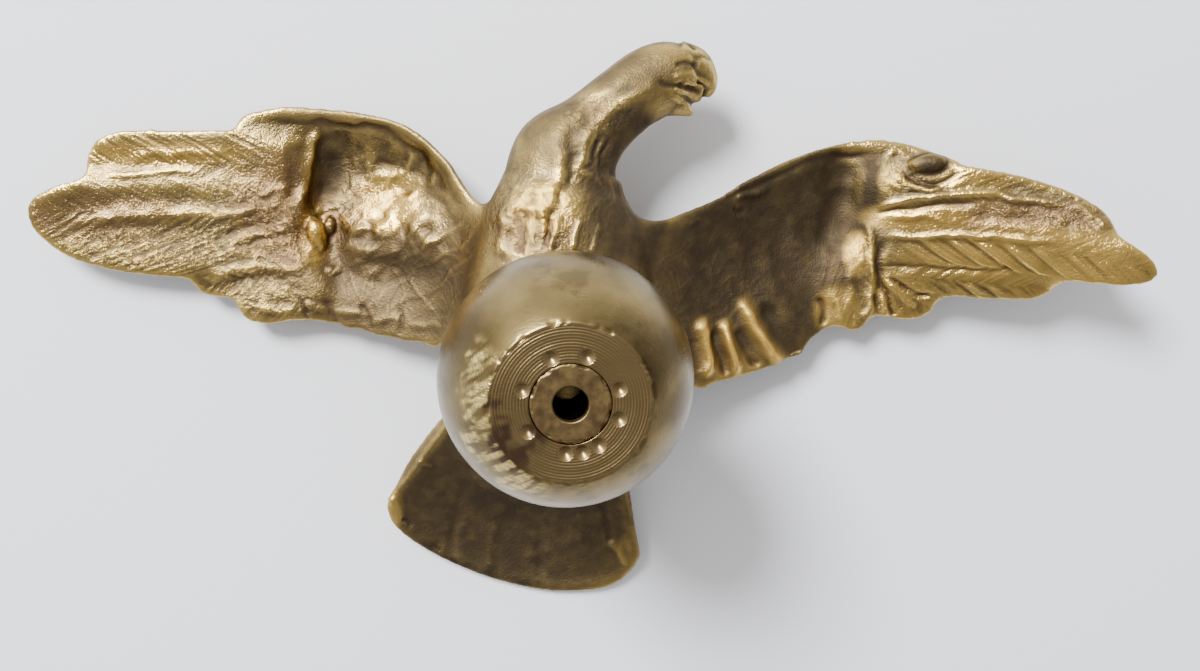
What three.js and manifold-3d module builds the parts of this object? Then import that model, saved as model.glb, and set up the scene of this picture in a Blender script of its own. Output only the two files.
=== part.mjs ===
// Eagle finial: a cast brass eagle with spread wings, its feet on a turned brass ball that ends in
// a flat seat with a threaded bushing. It lies on its back, as it does on a table, so the seat faces up.
// Millimetres. X runs from wing tip to wing tip, +Y points to the head, +Z up out of the ball's seat.
import * as THREE from 'three';
import { mergeVertices } from 'three/addons/utils/BufferGeometryUtils.js';
import Module from 'manifold-3d';

const wasm = await Module();
wasm.setup();

// Driving sizes
const WINGSPAN = 346;
const BALL_RADIUS = 33;
const SEAT_RADIUS = 19.7; // flat turned on the ball
const BUSHING_RADIUS = 9.9;
const BUSHING_LENGTH = 22;
const SOCKET_RADIUS = 4.2; // tapping size of the thread
const SOCKET_CHAMFER = 0.4;
const FIT_GAP = 0.3; // between pieces that touch
const SHEET_THICKNESS = 3.4; // wing and tail casting
const VANE_THICKNESS = 3; // large feathers
const EDGE_THICKNESS = 1.5; // along the rims of sheet and feathers
const PUNCH_RADIUS = 1.4; // staking marks round the bushing
const PUNCH_DEPTH = 1.3;
const PUNCH_CIRCLE = 12.1;
const PUNCH_ANGLES = [17, 71, 112, 162, 212, 264, 283, 303, 342]; // struck by hand, in degrees
const TOE_RADIUS = 3.1;

// The figure's own frame: its places below are millimetres on an eagle 346 mm across, scaled at the end
const FIGURE = WINGSPAN / 346;
const SHEET = SHEET_THICKNESS / FIGURE;
const VANE = VANE_THICKNESS / FIGURE;
const EDGE = EDGE_THICKNESS / FIGURE;
const PERCH_HEIGHT = 57 * FIGURE; // from the modelling plane to the ball's nearest point
const REST_PLANE = 3 * FIGURE; // height of the table over the modelling plane

const BRASS = { metalness: 1, roughness: 0.36 };
const castBrass = new THREE.MeshStandardMaterial({ name: 'cast_brass', color: 0x9c7f45, ...BRASS });
const turnedBrass = new THREE.MeshStandardMaterial({ name: 'turned_brass', color: 0xa89258, ...BRASS });
const bushingBrass = new THREE.MeshStandardMaterial({ name: 'bushing_brass', color: 0x7d6440, ...BRASS });

const UP = new THREE.Vector3(0, 0, 1);
const toRadians = THREE.MathUtils.degToRad;
const mix = THREE.MathUtils.lerp;

// Solids

function toSolid(geometry) {
  const plain = geometry.clone();
  plain.deleteAttribute('normal');
  plain.deleteAttribute('uv');
  const merged = mergeVertices(plain, 1e-4);
  const mesh = new wasm.Mesh({
    numProp: 3,
    vertProperties: new Float32Array(merged.attributes.position.array),
    triVerts: new Uint32Array(merged.index.array),
  });
  return new wasm.Manifold(mesh);
}

function toGeometry(solid) {
  const mesh = solid.getMesh();
  const geometry = new THREE.BufferGeometry();
  geometry.setAttribute('position', new THREE.BufferAttribute(new Float32Array(mesh.vertProperties), 3));
  geometry.setIndex(outerSkin(mesh));
  return mergeVertices(geometry, 1e-5);
}

// The triangles of the largest closed skin: the pockets that overlapping sheets shut in are cast solid
function outerSkin(mesh) {
  const group = Array.from({ length: mesh.vertProperties.length / 3 }, (_, i) => i);
  const find = (i) => {
    while (group[i] !== i) {
      group[i] = group[group[i]];
      i = group[i];
    }
    return i;
  };
  const corners = Array.from(mesh.triVerts);
  const sizes = new Map();
  for (let t = 0; t < corners.length; t += 3) {
    group[find(corners[t])] = find(corners[t + 1]);
    group[find(corners[t + 1])] = find(corners[t + 2]);
  }
  corners.forEach((corner) => sizes.set(find(corner), (sizes.get(find(corner)) ?? 0) + 1));
  const [largest] = [...sizes].reduce((a, b) => (b[1] > a[1] ? b : a));
  return corners.filter((_, i) => find(corners[i - (i % 3)]) === largest);
}

// A closed geometry from points and triangles, turned so that its faces point out
function closedGeometry(points, triangles) {
  let volume = 0;
  for (const [a, b, c] of triangles) {
    volume += points[a].dot(new THREE.Vector3().crossVectors(points[b], points[c]));
  }
  const facing = volume > 0 ? triangles : triangles.map(([a, b, c]) => [a, c, b]);
  const geometry = new THREE.BufferGeometry().setFromPoints(points);
  geometry.setIndex(facing.flat());
  return geometry;
}

// Rings of equally many points, joined side by side, each end closed by a fan
function loft(rings) {
  const count = rings[0].length;
  const points = rings.flat();
  const triangles = [];
  for (let r = 0; r + 1 < rings.length; r += 1) {
    for (let i = 0; i < count; i += 1) {
      const j = (i + 1) % count;
      const [a, b, c, d] = [r * count + i, r * count + j, (r + 1) * count + i, (r + 1) * count + j];
      triangles.push([a, b, d], [a, d, c]);
    }
  }
  for (const [first, flip] of [[0, true], [(rings.length - 1) * count, false]]) {
    const centre = new THREE.Vector3();
    for (let i = 0; i < count; i += 1) {
      centre.addScaledVector(points[first + i], 1 / count);
    }
    const hub = points.push(centre) - 1;
    for (let i = 0; i < count; i += 1) {
      const j = (i + 1) % count;
      triangles.push(flip ? [hub, first + j, first + i] : [hub, first + i, first + j]);
    }
  }
  return toSolid(closedGeometry(points, triangles));
}

// A sheet with two faces: place(u, v) gives its upper and lower point, u and v from 0 to 1
function sheet(columns, rows, place) {
  const points = [];
  const grid = (side) => {
    const start = points.length;
    for (let r = 0; r <= rows; r += 1) {
      for (let c = 0; c <= columns; c += 1) {
        points.push(place(c / columns, r / rows)[side]);
      }
    }
    return (c, r) => start + r * (columns + 1) + c;
  };
  const top = grid(0);
  const bottom = grid(1);
  const triangles = [];
  for (let r = 0; r < rows; r += 1) {
    for (let c = 0; c < columns; c += 1) {
      triangles.push([top(c, r), top(c + 1, r), top(c + 1, r + 1)], [top(c, r), top(c + 1, r + 1), top(c, r + 1)]);
      triangles.push([bottom(c, r), bottom(c + 1, r + 1), bottom(c + 1, r)]);
      triangles.push([bottom(c, r), bottom(c, r + 1), bottom(c + 1, r + 1)]);
    }
  }
  const border = [];
  for (let c = 0; c < columns; c += 1) border.push([c, 0]);
  for (let r = 0; r < rows; r += 1) border.push([columns, r]);
  for (let c = columns; c > 0; c -= 1) border.push([c, rows]);
  for (let r = rows; r > 0; r -= 1) border.push([0, r]);
  border.forEach(([c, r], i) => {
    const [c2, r2] = border[(i + 1) % border.length];
    triangles.push([top(c, r), bottom(c, r), bottom(c2, r2)], [top(c, r), bottom(c2, r2), top(c2, r2)]);
  });
  return toSolid(closedGeometry(points, triangles));
}

// A smooth run through rows of numbers: run(rows)(t) gives the row at t from 0 to 1
function run(rows) {
  const width = rows[0].length;
  const curves = [];
  for (let k = 0; k < width; k += 3) {
    curves.push(new THREE.CatmullRomCurve3(
      rows.map((row) => new THREE.Vector3(row[k], row[k + 1] ?? 0, row[k + 2] ?? 0)),
      false,
      'catmullrom',
      0.5,
    ));
  }
  return (t) => curves.flatMap((curve) => curve.getPoint(t).toArray()).slice(0, width);
}

// A rounded bar along stations of x, y, z, half width, upper depth and lower depth
function bar(stations, steps, sides) {
  const at = run(stations);
  const rings = [];
  for (let s = 0; s <= steps; s += 1) {
    rings.push(barRing(at, s / steps, sides));
  }
  return loft(rings);
}

function barFrame(at, t) {
  const near = 0.01;
  const [x0, y0, z0] = at(Math.max(0, t - near));
  const [x1, y1, z1] = at(Math.min(1, t + near));
  const tangent = new THREE.Vector3(x1 - x0, y1 - y0, z1 - z0).normalize();
  const side = new THREE.Vector3().crossVectors(tangent, UP).normalize();
  const rise = new THREE.Vector3().crossVectors(side, tangent);
  return { tangent, side, rise };
}

function barRing(at, t, sides) {
  return Array.from({ length: sides }, (_, i) => barPoint(at, t, (360 * i) / sides));
}

// A point on a bar's surface: angle 0 is its upper side, 90 its right hand seen from its start
function barPoint(at, t, angle, proud = 0) {
  const [x, y, z, wide, upper, lower] = at(t);
  const { side, rise } = barFrame(at, t);
  const across = Math.sin(toRadians(angle));
  const along = Math.cos(toRadians(angle));
  const depth = along > 0 ? upper : lower;
  return new THREE.Vector3(x, y, z)
    .addScaledVector(side, (wide + proud) * across)
    .addScaledVector(rise, (depth + proud) * along);
}

// Feathers

// One feather as a curved leaf: a raised shaft along its middle, vanes that lift towards their edges
function feather({
  base, tip, bow = 0, lead, trail, blunt = 5, cup = 1.2, ridge = 1, rows = 5, columns = 4, root = 0.75,
}) {
  const start = new THREE.Vector3(...base);
  const end = new THREE.Vector3(...tip);
  const forward = new THREE.Vector3().subVectors(end, start);
  const leading = new THREE.Vector3().crossVectors(UP, forward).normalize();
  if (leading.y < 0) leading.negate();
  return sheet(columns, rows, (u, v) => {
    const across = 2 * u - 1;
    const rounding = (1 - v ** blunt) ** 0.6 + 0.03;
    const swell = mix(root, 1, Math.sin(Math.min(1, v / 0.4) * Math.PI / 2));
    const half = (across > 0 ? lead : trail) * swell * rounding;
    const middle = new THREE.Vector3().lerpVectors(start, end, v);
    middle.addScaledVector(leading, bow * Math.sin(Math.PI * v) + across * half);
    middle.z += cup * across ** 2 * Math.min(1, half / 4);
    const shaft = ridge * Math.max(0, 1 - Math.abs(across) * 2.2) * (1 - v ** 3);
    const border = u === 0 || u === 1 || v === 1 || v === 0;
    const thickness = border ? EDGE : VANE;
    const upper = middle.clone().addScaledVector(UP, thickness / 2 + (border ? 0 : shaft));
    return [upper, middle.clone().addScaledVector(UP, -thickness / 2)];
  });
}

// A lock of short feathers: a low leaf from one surface point to another, half sunk in what it lies on
function lock(from, to, halfWidth, height, outward) {
  const forward = new THREE.Vector3().subVectors(to, from);
  const side = new THREE.Vector3().crossVectors(forward, outward).normalize();
  const profile = [[0, 0.35], [0.35, 1], [0.8, 0.8], [1, 0.15]];
  const sides = 4;
  const rings = profile.map(([t, share]) => Array.from({ length: sides }, (_, i) => {
    const angle = (2 * Math.PI * i) / sides;
    return new THREE.Vector3().lerpVectors(from, to, t)
      .addScaledVector(side, halfWidth * share * Math.cos(angle))
      .addScaledVector(outward, height * share * Math.sin(angle));
  }));
  return loft(rings);
}

// Wings

// Stations of a wing's sheet from body to hand: leading edge x, y, z, then trailing edge x, y, z, then hollow
const RIGHT_WING = [ // the eagle's own right, on -X
  [-12, 36, 33, -10, -18, 34, 0],
  [-23, 40, 29, -26, -6, 28, 2],
  [-33, 52.5, 24, -41, -4, 21, 5],
  [-44, 61.5, 20, -54, -2.5, 17, 8],
  [-58, 65.5, 16, -65, 0.5, 14, 8],
  [-70, 66.8, 13, -77, 2, 12, 8.4],
  [-83, 67.4, 10.5, -86, 5.5, 10.5, 4],
  [-96, 65, 9.5, -94, 30, 10, 0.5],
];
const LEFT_WING = [ // on +X
  [12, 41, 31, 10, -22, 34, 0],
  [29, 34.5, 30, 30, -21, 28, 2],
  [47, 38, 23, 46, -19, 23, 4],
  [62, 45.5, 18, 61, -16.5, 19, 5],
  [78, 52, 13, 75, -12, 16, 5.5],
  [95, 56.3, 11, 88, -3, 12.5, 7.6],
  [110, 56.3, 11.5, 103, 2, 12.5, 3],
  [127.5, 51, 13, 112, 30, 13, 0.5],
];

function wingSheet(stations, columns = 5, rows = 9) {
  const at = run(stations);
  return sheet(columns, rows, (u, v) => {
    const [lx, ly, lz, tx, ty, tz, hollow] = at(v);
    const chord = (1 - Math.cos(Math.PI * u)) / 2;
    const middle = new THREE.Vector3(mix(lx, tx, chord), mix(ly, ty, chord), mix(lz, tz, chord));
    middle.z -= hollow * Math.sin(Math.PI * chord) ** 0.8;
    const border = u === 0 || u === 1 || v === 1;
    const half = (border ? EDGE : SHEET) / 2;
    return [middle.clone().addScaledVector(UP, half), middle.clone().addScaledVector(UP, -half)];
  });
}

// The eagle's right wing: two broad primaries, two tertials and the scalloped secondaries
const RIGHT_FEATHERS = [
  { base: [-77, 50, 10], tip: [-142, 51.5, 11], lead: 9.5, trail: 7.5, blunt: 12, rows: 7 },
  { base: [-77, 33, 10.5], tip: [-160, 37, 14], lead: 12, trail: 18.5, rows: 7, columns: 6, ridge: 1.3 },
  { base: [-74, 21, 12], tip: [-112, 12.5, 11], lead: 6, trail: 7, blunt: 3, rows: 5 },
  { base: [-70, 13, 13], tip: [-91, 2, 12], lead: 5.5, trail: 6, blunt: 3, rows: 4 },
];
const LEFT_FEATHERS = [
  { base: [98, 44, 12], tip: [173.5, 32, 28], bow: 3.5, lead: 6.5, trail: 7.5, blunt: 6, rows: 6 },
  { base: [98, 27, 11], tip: [186, 17, 37], bow: 4, lead: 10.5, trail: 9, rows: 7, ridge: 1.3 },
  { base: [99, 14, 12], tip: [157.5, 10.5, 24], bow: 1, lead: 5.5, trail: 5, blunt: 7 },
  { base: [96, 18, 12], tip: [123, 3, 14], lead: 6.5, trail: 6, blunt: 3, rows: 4 },
  { base: [91, 24, 12.5], tip: [97, -4, 13.5], lead: 7, trail: 8, blunt: 3, rows: 4 },
];

// Short secondaries along a trailing edge: fluted locks from one tip to the next, their roots drawn together
function secondaries(from, to, root, count, half) {
  return Array.from({ length: count }, (_, i) => {
    const share = i / (count - 1);
    const tip = from.map((value, k) => mix(value, to[k], share));
    const base = tip.map((value, k) => mix(root[k], value, k === 2 ? 0.3 : 0.5));
    return lock(new THREE.Vector3(...base), new THREE.Vector3(...tip), half, 2.6, UP);
  });
}

// Scales of small coverts laid in rows on the lower face of a wing
function coverts(stations, rowCount, perRow, size) {
  const at = run(stations);
  const spot = (v, chord) => {
    const [lx, ly, lz, tx, ty, tz, hollow] = at(v);
    const z = mix(lz, tz, chord) - hollow * Math.sin(Math.PI * chord) ** 0.8 - SHEET / 2;
    return new THREE.Vector3(mix(lx, tx, chord), mix(ly, ty, chord), z);
  };
  const scales = [];
  for (let row = 0; row < rowCount; row += 1) {
    for (let i = 0; i < perRow; i += 1) {
      const v = mix(0.3, 0.92, (i + (row % 2) * 0.5) / perRow);
      const chord = mix(0.16, 0.5, row / Math.max(1, rowCount - 1));
      scales.push(lock(spot(v, chord), spot(Math.min(1, v + 0.05), chord + 0.27), size, 1.5, UP.clone().negate()));
    }
  }
  return scales;
}

// Body, neck and head

const TRUNK = [ // x, y, z, half width, belly side depth, back side depth
  [-13, -50, 16, 15, 3.5, 4],
  [-9, -37, 20, 18, 9, 9],
  [-4, -21, 25, 24, 17, 15],
  [-1, -4, 28, 28, 22, 20],
  [0.5, 14, 29, 28.5, 23, 21],
  [1, 27, 29, 26, 21, 20.5],
  [1.5, 37, 29, 22.5, 18.5, 18.5],
  [2.3, 45, 28, 18.4, 16, 16],
  [4.4, 53.5, 27.5, 16.6, 14.5, 14.5],
  [11.2, 61.4, 27, 11.8, 12, 12],
  [20.6, 69.6, 26.5, 10.6, 10.4, 10.4],
  [28, 74.5, 26, 10.9, 9.4, 9.4],
  [34.6, 77.4, 26, 10.2, 8.6, 8.6],
  [40.6, 79.2, 26, 7.4, 7, 7],
];
const trunkAt = run(TRUNK);

const HEAD_DEPTH = 26; // height of the head's middle plane
const BEAK = [ // x, y, half height, half thickness
  [37, 79.6, 8, 7.2],
  [41.6, 78.9, 6.6, 5.8],
  [44.9, 76.2, 4.4, 4.4],
  [46, 73.4, 2.7, 3],
  [45.5, 70.8, 1, 1.4],
];
const JAW = [
  [29, 74, 7, 6.6],
  [35, 70, 5.4, 5],
  [39.2, 67.2, 2.4, 3],
  [41.4, 65.6, 0.8, 1],
];
const PALATE = [ // what shows between the two, with the tongue
  [34, 75, 4, 5],
  [39.6, 72.2, 3.6, 4],
  [43.6, 70.6, 1.4, 1.6],
];

function head() {
  const profile = (rows) => rows.map(([x, y, half, thick]) => [x, y, HEAD_DEPTH, half, thick, thick]);
  const pieces = [bar(profile(BEAK), 6, 10), bar(profile(JAW), 4, 8), bar(profile(PALATE), 2, 8)];
  for (const flank of [-1, 1]) {
    const z = HEAD_DEPTH + flank * 6.6;
    pieces.push(bar([[30.5, 82, z, 1.2, 1.4, 1.4], [36, 82.4, z, 1.7, 2.1, 2.1], [42, 80.8, z - flank * 1.4, 0.8, 1, 1]], 3, 6));
    const eye = new THREE.SphereGeometry(1.7, 6, 5);
    eye.translate(36.8, 79.4, z + flank * 0.5);
    pieces.push(toSolid(eye));
  }
  return pieces;
}

// Locks laid in rows over part of the trunk, pointing to the tail
function trunkLocks({ from, to, rows, angle, spread, perRow, length, half, height }) {
  const locks = [];
  for (let row = 0; row < rows; row += 1) {
    const t = mix(from, to, row / Math.max(1, rows - 1));
    for (let i = 0; i < perRow; i += 1) {
      const turn = angle + spread * ((i + 0.5 * (row % 2)) / Math.max(1, perRow - 0.5) - 0.5) * 2;
      const start = barPoint(trunkAt, t, turn, -0.6);
      const end = barPoint(trunkAt, t - length, turn, 0.2);
      const centre = new THREE.Vector3(...trunkAt(t - length / 2).slice(0, 3));
      const outward = new THREE.Vector3().addVectors(start, end).multiplyScalar(0.5).sub(centre).normalize();
      locks.push(lock(start, end, half, height, outward));
    }
  }
  return locks;
}

// Tail

const TAIL_ROOT = [[-23, -14, 20], [16, -22, 20]];
const TAIL_RIM = [[-55.9, -60, 9.5], [-53.4, -69, 7.5], [-41, -79.5, 5.8], [-23.5, -88.6, 4.8], [-5, -94, 4.4],
  [8, -95, 4.4], [20.5, -92.4, 5.2], [28.7, -83.4, 6.6]];
const TAIL_DISH = 4.5; // how far the fan's middle lies below its sides
const TAIL_FEATHERS = 6;

function tailPoint(across, along) {
  const rim = new THREE.CatmullRomCurve3(TAIL_RIM.map((p) => new THREE.Vector3(...p))).getPoint(across);
  const [left, right] = TAIL_ROOT.map((p) => new THREE.Vector3(...p));
  const point = new THREE.Vector3().lerpVectors(left, right, across).lerp(rim, along);
  point.z -= TAIL_DISH * Math.sin(Math.PI * across) * Math.sin(Math.PI * along);
  return point;
}

function tail() {
  const fan = sheet(8, 5, (u, v) => {
    const middle = tailPoint(u, v);
    const border = u === 0 || u === 1 || v === 1;
    const half = (border ? EDGE * 1.4 : SHEET) / 2;
    return [middle.clone().addScaledVector(UP, half), middle.clone().addScaledVector(UP, -half)];
  });
  const quills = Array.from({ length: TAIL_FEATHERS }, (_, i) => {
    const across = (i + 0.5) / TAIL_FEATHERS;
    const sunk = new THREE.Vector3(0, 0, -SHEET / 2);
    return lock(tailPoint(across, 0.15).add(sunk), tailPoint(across, 0.97).add(sunk), 5.2, 1.3, UP.clone().negate());
  });
  return [fan, ...quills];
}

// Legs and toes, laid on the ball

const BALL_CENTRE = new THREE.Vector3(0, 0, PERCH_HEIGHT + BALL_RADIUS);
const FOOT_POLAR = 30; // degrees from the ball's nearest point to the foot's middle
const TOES = [[57, 58], [58, 18], [56, -28], [54, -82]]; // where each claw ends: degrees from that point, and round the ball

function ballPoint(polar, azimuth, proud) {
  const reach = BALL_RADIUS + FIT_GAP + proud;
  const [down, round] = [toRadians(polar), toRadians(azimuth)];
  return new THREE.Vector3(Math.sin(down) * Math.cos(round), Math.sin(down) * Math.sin(round), -Math.cos(down))
    .multiplyScalar(reach).add(BALL_CENTRE);
}

// A round bar through points of any direction, with a radius at each
function limb(points, radii, steps, sides) {
  const curve = new THREE.CatmullRomCurve3(points);
  const frames = curve.computeFrenetFrames(steps, false);
  const size = run(radii.map((radius) => [radius, 0, 0]));
  const rings = [];
  for (let s = 0; s <= steps; s += 1) {
    const centre = curve.getPointAt(s / steps);
    const [radius] = size(s / steps);
    rings.push(Array.from({ length: sides }, (_, i) => {
      const angle = (2 * Math.PI * i) / sides;
      return centre.clone()
        .addScaledVector(frames.normals[s], radius * Math.cos(angle))
        .addScaledVector(frames.binormals[s], radius * Math.sin(angle));
    }));
  }
  return loft(rings);
}

function leg(flank) {
  const facing = flank > 0 ? 0 : 180;
  const foot = ballPoint(FOOT_POLAR, facing, TOE_RADIUS * 0.8);
  const hip = new THREE.Vector3(flank * 14, 1, 38).multiplyScalar(FIGURE);
  const knee = new THREE.Vector3(flank * 17.5, 2, 48).multiplyScalar(FIGURE);
  const pieces = [limb([hip, knee, foot], [11.5 * FIGURE, 8.6 * FIGURE, TOE_RADIUS * 1.5], 4, 9)];
  const girths = [1.05, 1, 0.85, 0.2].map((share) => share * TOE_RADIUS);
  for (const [polar, turn] of TOES) {
    const path = girths.map((girth, i) => {
      const t = i / (girths.length - 1);
      return ballPoint(mix(FOOT_POLAR, polar, t), facing + flank * turn * t, girth);
    });
    pieces.push(limb(path, girths, 3, 6));
  }
  return pieces;
}

// The three pieces

function scaled(solids) {
  return solids.map((solid) => solid.scale([FIGURE, FIGURE, FIGURE]));
}

function eagle() {
  const figure = [
    bar(TRUNK, 15, 12),
    ...head(),
    ...trunkLocks({ from: 0.66, to: 0.46, rows: 3, angle: 0, spread: 48, perRow: 4, length: 0.1, half: 4.4, height: 2 }),
    ...trunkLocks({ from: 0.64, to: 0.28, rows: 3, angle: 180, spread: 44, perRow: 3, length: 0.14, half: 6.8, height: 1.8 }),
    wingSheet(RIGHT_WING),
    wingSheet(LEFT_WING),
    ...RIGHT_FEATHERS.map(feather),
    ...LEFT_FEATHERS.map(feather),
    ...secondaries([-65.5, -1, 15], [-38, -6, 22], [-48, 40, 10], 4, 5.2),
    ...secondaries([80, -11.5, 16], [47, -20.5, 23], [52, 45, 14], 4, 5.4),
    ...coverts(RIGHT_WING, 2, 3, 7),
    ...coverts(LEFT_WING, 2, 3, 7),
    bar([[-72, 59, 11, 1.6, 1.6, 1.6], [-77.5, 48, 11.5, 2, 2, 2], [-78, 37, 11.5, 1.6, 1.6, 1.6]], 5, 6), // rim of the hollow
    bar([[-74, 36, 12.5, 2.2, 2, 2], [-73, 30, 13, 3, 2.6, 2.6], [-69.5, 23, 13, 1.4, 1.2, 1.2]], 4, 7), // wrist claw
    bar([[104, 51, 12, 2, 1.5, 1.5], [114, 50, 13.5, 3.8, 3, 3], [121.5, 48.5, 14.5, 4.4, 3.6, 3.6], [126, 47, 14.5, 2, 2, 2]], 6, 8), // wrist knob
    ...tail(),
  ];
  const whole = wasm.Manifold.union([...scaled(figure), ...leg(-1), ...leg(1)]);
  const seat = new THREE.SphereGeometry(BALL_RADIUS + FIT_GAP, 28, 18);
  seat.translate(...BALL_CENTRE.toArray());
  const below = new THREE.BoxGeometry(2 * WINGSPAN, 2 * WINGSPAN, WINGSPAN);
  below.translate(0, 0, REST_PLANE - WINGSPAN / 2);
  return whole.subtract(toSolid(seat)).subtract(toSolid(below));
}

const SEAT_HEIGHT = Math.sqrt(BALL_RADIUS ** 2 - SEAT_RADIUS ** 2); // from the ball's centre

function ball() {
  const bore = BUSHING_RADIUS + FIT_GAP;
  const floor = SEAT_HEIGHT - BUSHING_LENGTH - FIT_GAP;
  const steps = 9;
  const rim = Math.asin(SEAT_RADIUS / BALL_RADIUS);
  const profile = Array.from({ length: steps + 1 }, (_, i) => {
    const angle = mix(Math.PI, rim, i / steps);
    return new THREE.Vector2(i === 0 ? 0 : BALL_RADIUS * Math.sin(angle), BALL_RADIUS * Math.cos(angle));
  });
  profile.push(new THREE.Vector2(bore, SEAT_HEIGHT), new THREE.Vector2(bore, floor), new THREE.Vector2(0, floor));
  const turned = new THREE.LatheGeometry(profile, 30).rotateX(Math.PI / 2);
  const marks = PUNCH_ANGLES.map((angle) => {
    const mark = new THREE.ConeGeometry(PUNCH_RADIUS * 2, PUNCH_DEPTH * 2, 6).rotateX(-Math.PI / 2);
    const round = toRadians(angle);
    mark.translate(PUNCH_CIRCLE * Math.cos(round), PUNCH_CIRCLE * Math.sin(round), SEAT_HEIGHT);
    return toSolid(mark);
  });
  return toSolid(turned).subtract(wasm.Manifold.union(marks));
}

function bushing() {
  const edge = 0.5;
  const top = SEAT_HEIGHT;
  const foot = top - BUSHING_LENGTH;
  const mouth = SOCKET_RADIUS + SOCKET_CHAMFER;
  const profile = [[SOCKET_RADIUS, foot], [BUSHING_RADIUS, foot], [BUSHING_RADIUS, top - edge], [BUSHING_RADIUS - edge, top],
    [mouth, top], [SOCKET_RADIUS, top - SOCKET_CHAMFER], [SOCKET_RADIUS, foot]];
  return toSolid(new THREE.LatheGeometry(profile.map(([r, z]) => new THREE.Vector2(r, z)), 24).rotateX(Math.PI / 2));
}

function piece(name, solid, material) {
  const mesh = new THREE.Mesh(toGeometry(solid), material);
  mesh.name = name;
  return mesh;
}

const statue = new THREE.Group();
statue.name = 'eagle_finial';
const body = piece('eagle', eagle(), castBrass);
const orb = piece('ball', ball(), turnedBrass);
const insert = piece('threaded_bushing', bushing(), bushingBrass);
orb.position.copy(BALL_CENTRE);
insert.position.copy(BALL_CENTRE);
statue.add(body, orb, insert);

// The origin goes to the middle of the footprint, on the table
const box = new THREE.Box3().setFromObject(statue);
const middle = box.getCenter(new THREE.Vector3());
statue.position.set(-middle.x, -middle.y, -box.min.z);

export default statue;
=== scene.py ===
"""A cast brass eagle finial, lying on its back with the turned seat of its ball towards the camera.

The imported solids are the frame: every piece below stands for one of them, in the same place and at the same
size. The figure's own measures are millimetres in a frame whose origin lies under the ball's centre; the
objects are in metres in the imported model's frame.
"""
from __future__ import annotations

import logging
import math
from dataclasses import dataclass
from enum import Enum
from typing import Callable, Iterable, Sequence

import bpy
import numpy as np
from mathutils import Matrix, Vector

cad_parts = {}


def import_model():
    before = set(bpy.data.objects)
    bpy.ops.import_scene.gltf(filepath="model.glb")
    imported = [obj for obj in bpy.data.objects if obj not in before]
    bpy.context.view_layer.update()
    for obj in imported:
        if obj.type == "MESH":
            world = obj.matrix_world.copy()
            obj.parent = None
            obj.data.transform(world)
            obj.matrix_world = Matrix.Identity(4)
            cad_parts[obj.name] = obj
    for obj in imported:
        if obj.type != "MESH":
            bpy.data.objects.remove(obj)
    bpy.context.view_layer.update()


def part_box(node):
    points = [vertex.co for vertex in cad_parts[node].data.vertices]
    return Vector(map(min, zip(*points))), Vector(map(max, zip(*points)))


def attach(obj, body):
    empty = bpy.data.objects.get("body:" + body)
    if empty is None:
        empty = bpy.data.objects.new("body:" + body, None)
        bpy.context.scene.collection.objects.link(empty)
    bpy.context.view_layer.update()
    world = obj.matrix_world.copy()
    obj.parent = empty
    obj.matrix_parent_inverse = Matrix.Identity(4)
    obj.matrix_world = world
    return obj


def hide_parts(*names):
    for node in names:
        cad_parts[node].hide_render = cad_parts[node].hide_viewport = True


LOG = logging.getLogger("eagle_finial")
MM = 0.001
Row = Sequence[float]
Place = tuple[float, float]
Socket = bpy.types.NodeSocket
UP = np.array([0.0, 0.0, 1.0])
DOWN = -UP


# Small numerical tools


def smoothstep(low: float, high: float, value: np.ndarray) -> np.ndarray:
    """Returns 0 below low, 1 above high and a smooth rise between; a fall where high is below low."""
    share = np.clip((value - low) / (high - low), 0.0, 1.0)
    return share * share * (3.0 - 2.0 * share)


def spline(rows: Sequence[Row], where: np.ndarray) -> np.ndarray:
    """Draws a smooth run through evenly spaced rows of numbers.

    Args:
        rows: The rows that the run passes through.
        where: The places to read, from 0 at the first row to 1 at the last.

    Returns:
        One row of numbers for each place.
    """
    knots = np.asarray(rows, float)
    padded = np.vstack([2 * knots[0] - knots[1], knots, 2 * knots[-1] - knots[-2]])
    place = np.clip(where, 0, 1) * (len(knots) - 1)
    index = np.minimum(place.astype(int), len(knots) - 2)
    w = (place - index)[:, None]
    before, start, end, after = (padded[index + k] for k in range(4))
    leave, arrive = (end - before) / 2, (after - start) / 2
    return (
        start
        + leave * w
        + (3 * (end - start) - 2 * leave - arrive) * w**2
        + (2 * (start - end) + leave + arrive) * w**3
    )


def unit(vectors: np.ndarray) -> np.ndarray:
    """Returns the vectors, each at length 1."""
    return vectors / np.maximum(np.linalg.norm(vectors, axis=-1, keepdims=True), 1e-9)


def blurred(values: np.ndarray, sigma: float) -> np.ndarray:
    """Evens out a grid of values with a bell curve.

    Args:
        values: The grid, with nothing to keep within 4 sigma of its border.
        sigma: The width of the bell in cells.

    Returns:
        The evened grid.
    """
    reach = np.arange(-math.ceil(3 * sigma), math.ceil(3 * sigma) + 1)
    bell = np.exp(-0.5 * (reach / sigma) ** 2)
    bell /= bell.sum()
    for axis in (0, 1):
        values = sum(share * np.roll(values, step, axis) for share, step in zip(bell, reach))
    return values


BESIDE = ((1, 0), (-1, 0), (0, 1), (0, -1))
CORNERWISE = ((1, 1), (-1, 1), (1, -1), (-1, -1))


def grown(mask: np.ndarray, steps: int, start: int = 0) -> np.ndarray:
    """Grows a mask on every side, nearly round.

    Args:
        mask: The cells to start from.
        steps: How many cells to grow by.
        start: Which of the two kinds of neighbour comes first.

    Returns:
        The larger mask.
    """
    for turn in range(start, start + steps):
        cells = BESIDE if turn % 3 else CORNERWISE
        mask = np.logical_or.reduce([mask, *(np.roll(mask, step, (0, 1)) for step in cells)])
    return mask


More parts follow.
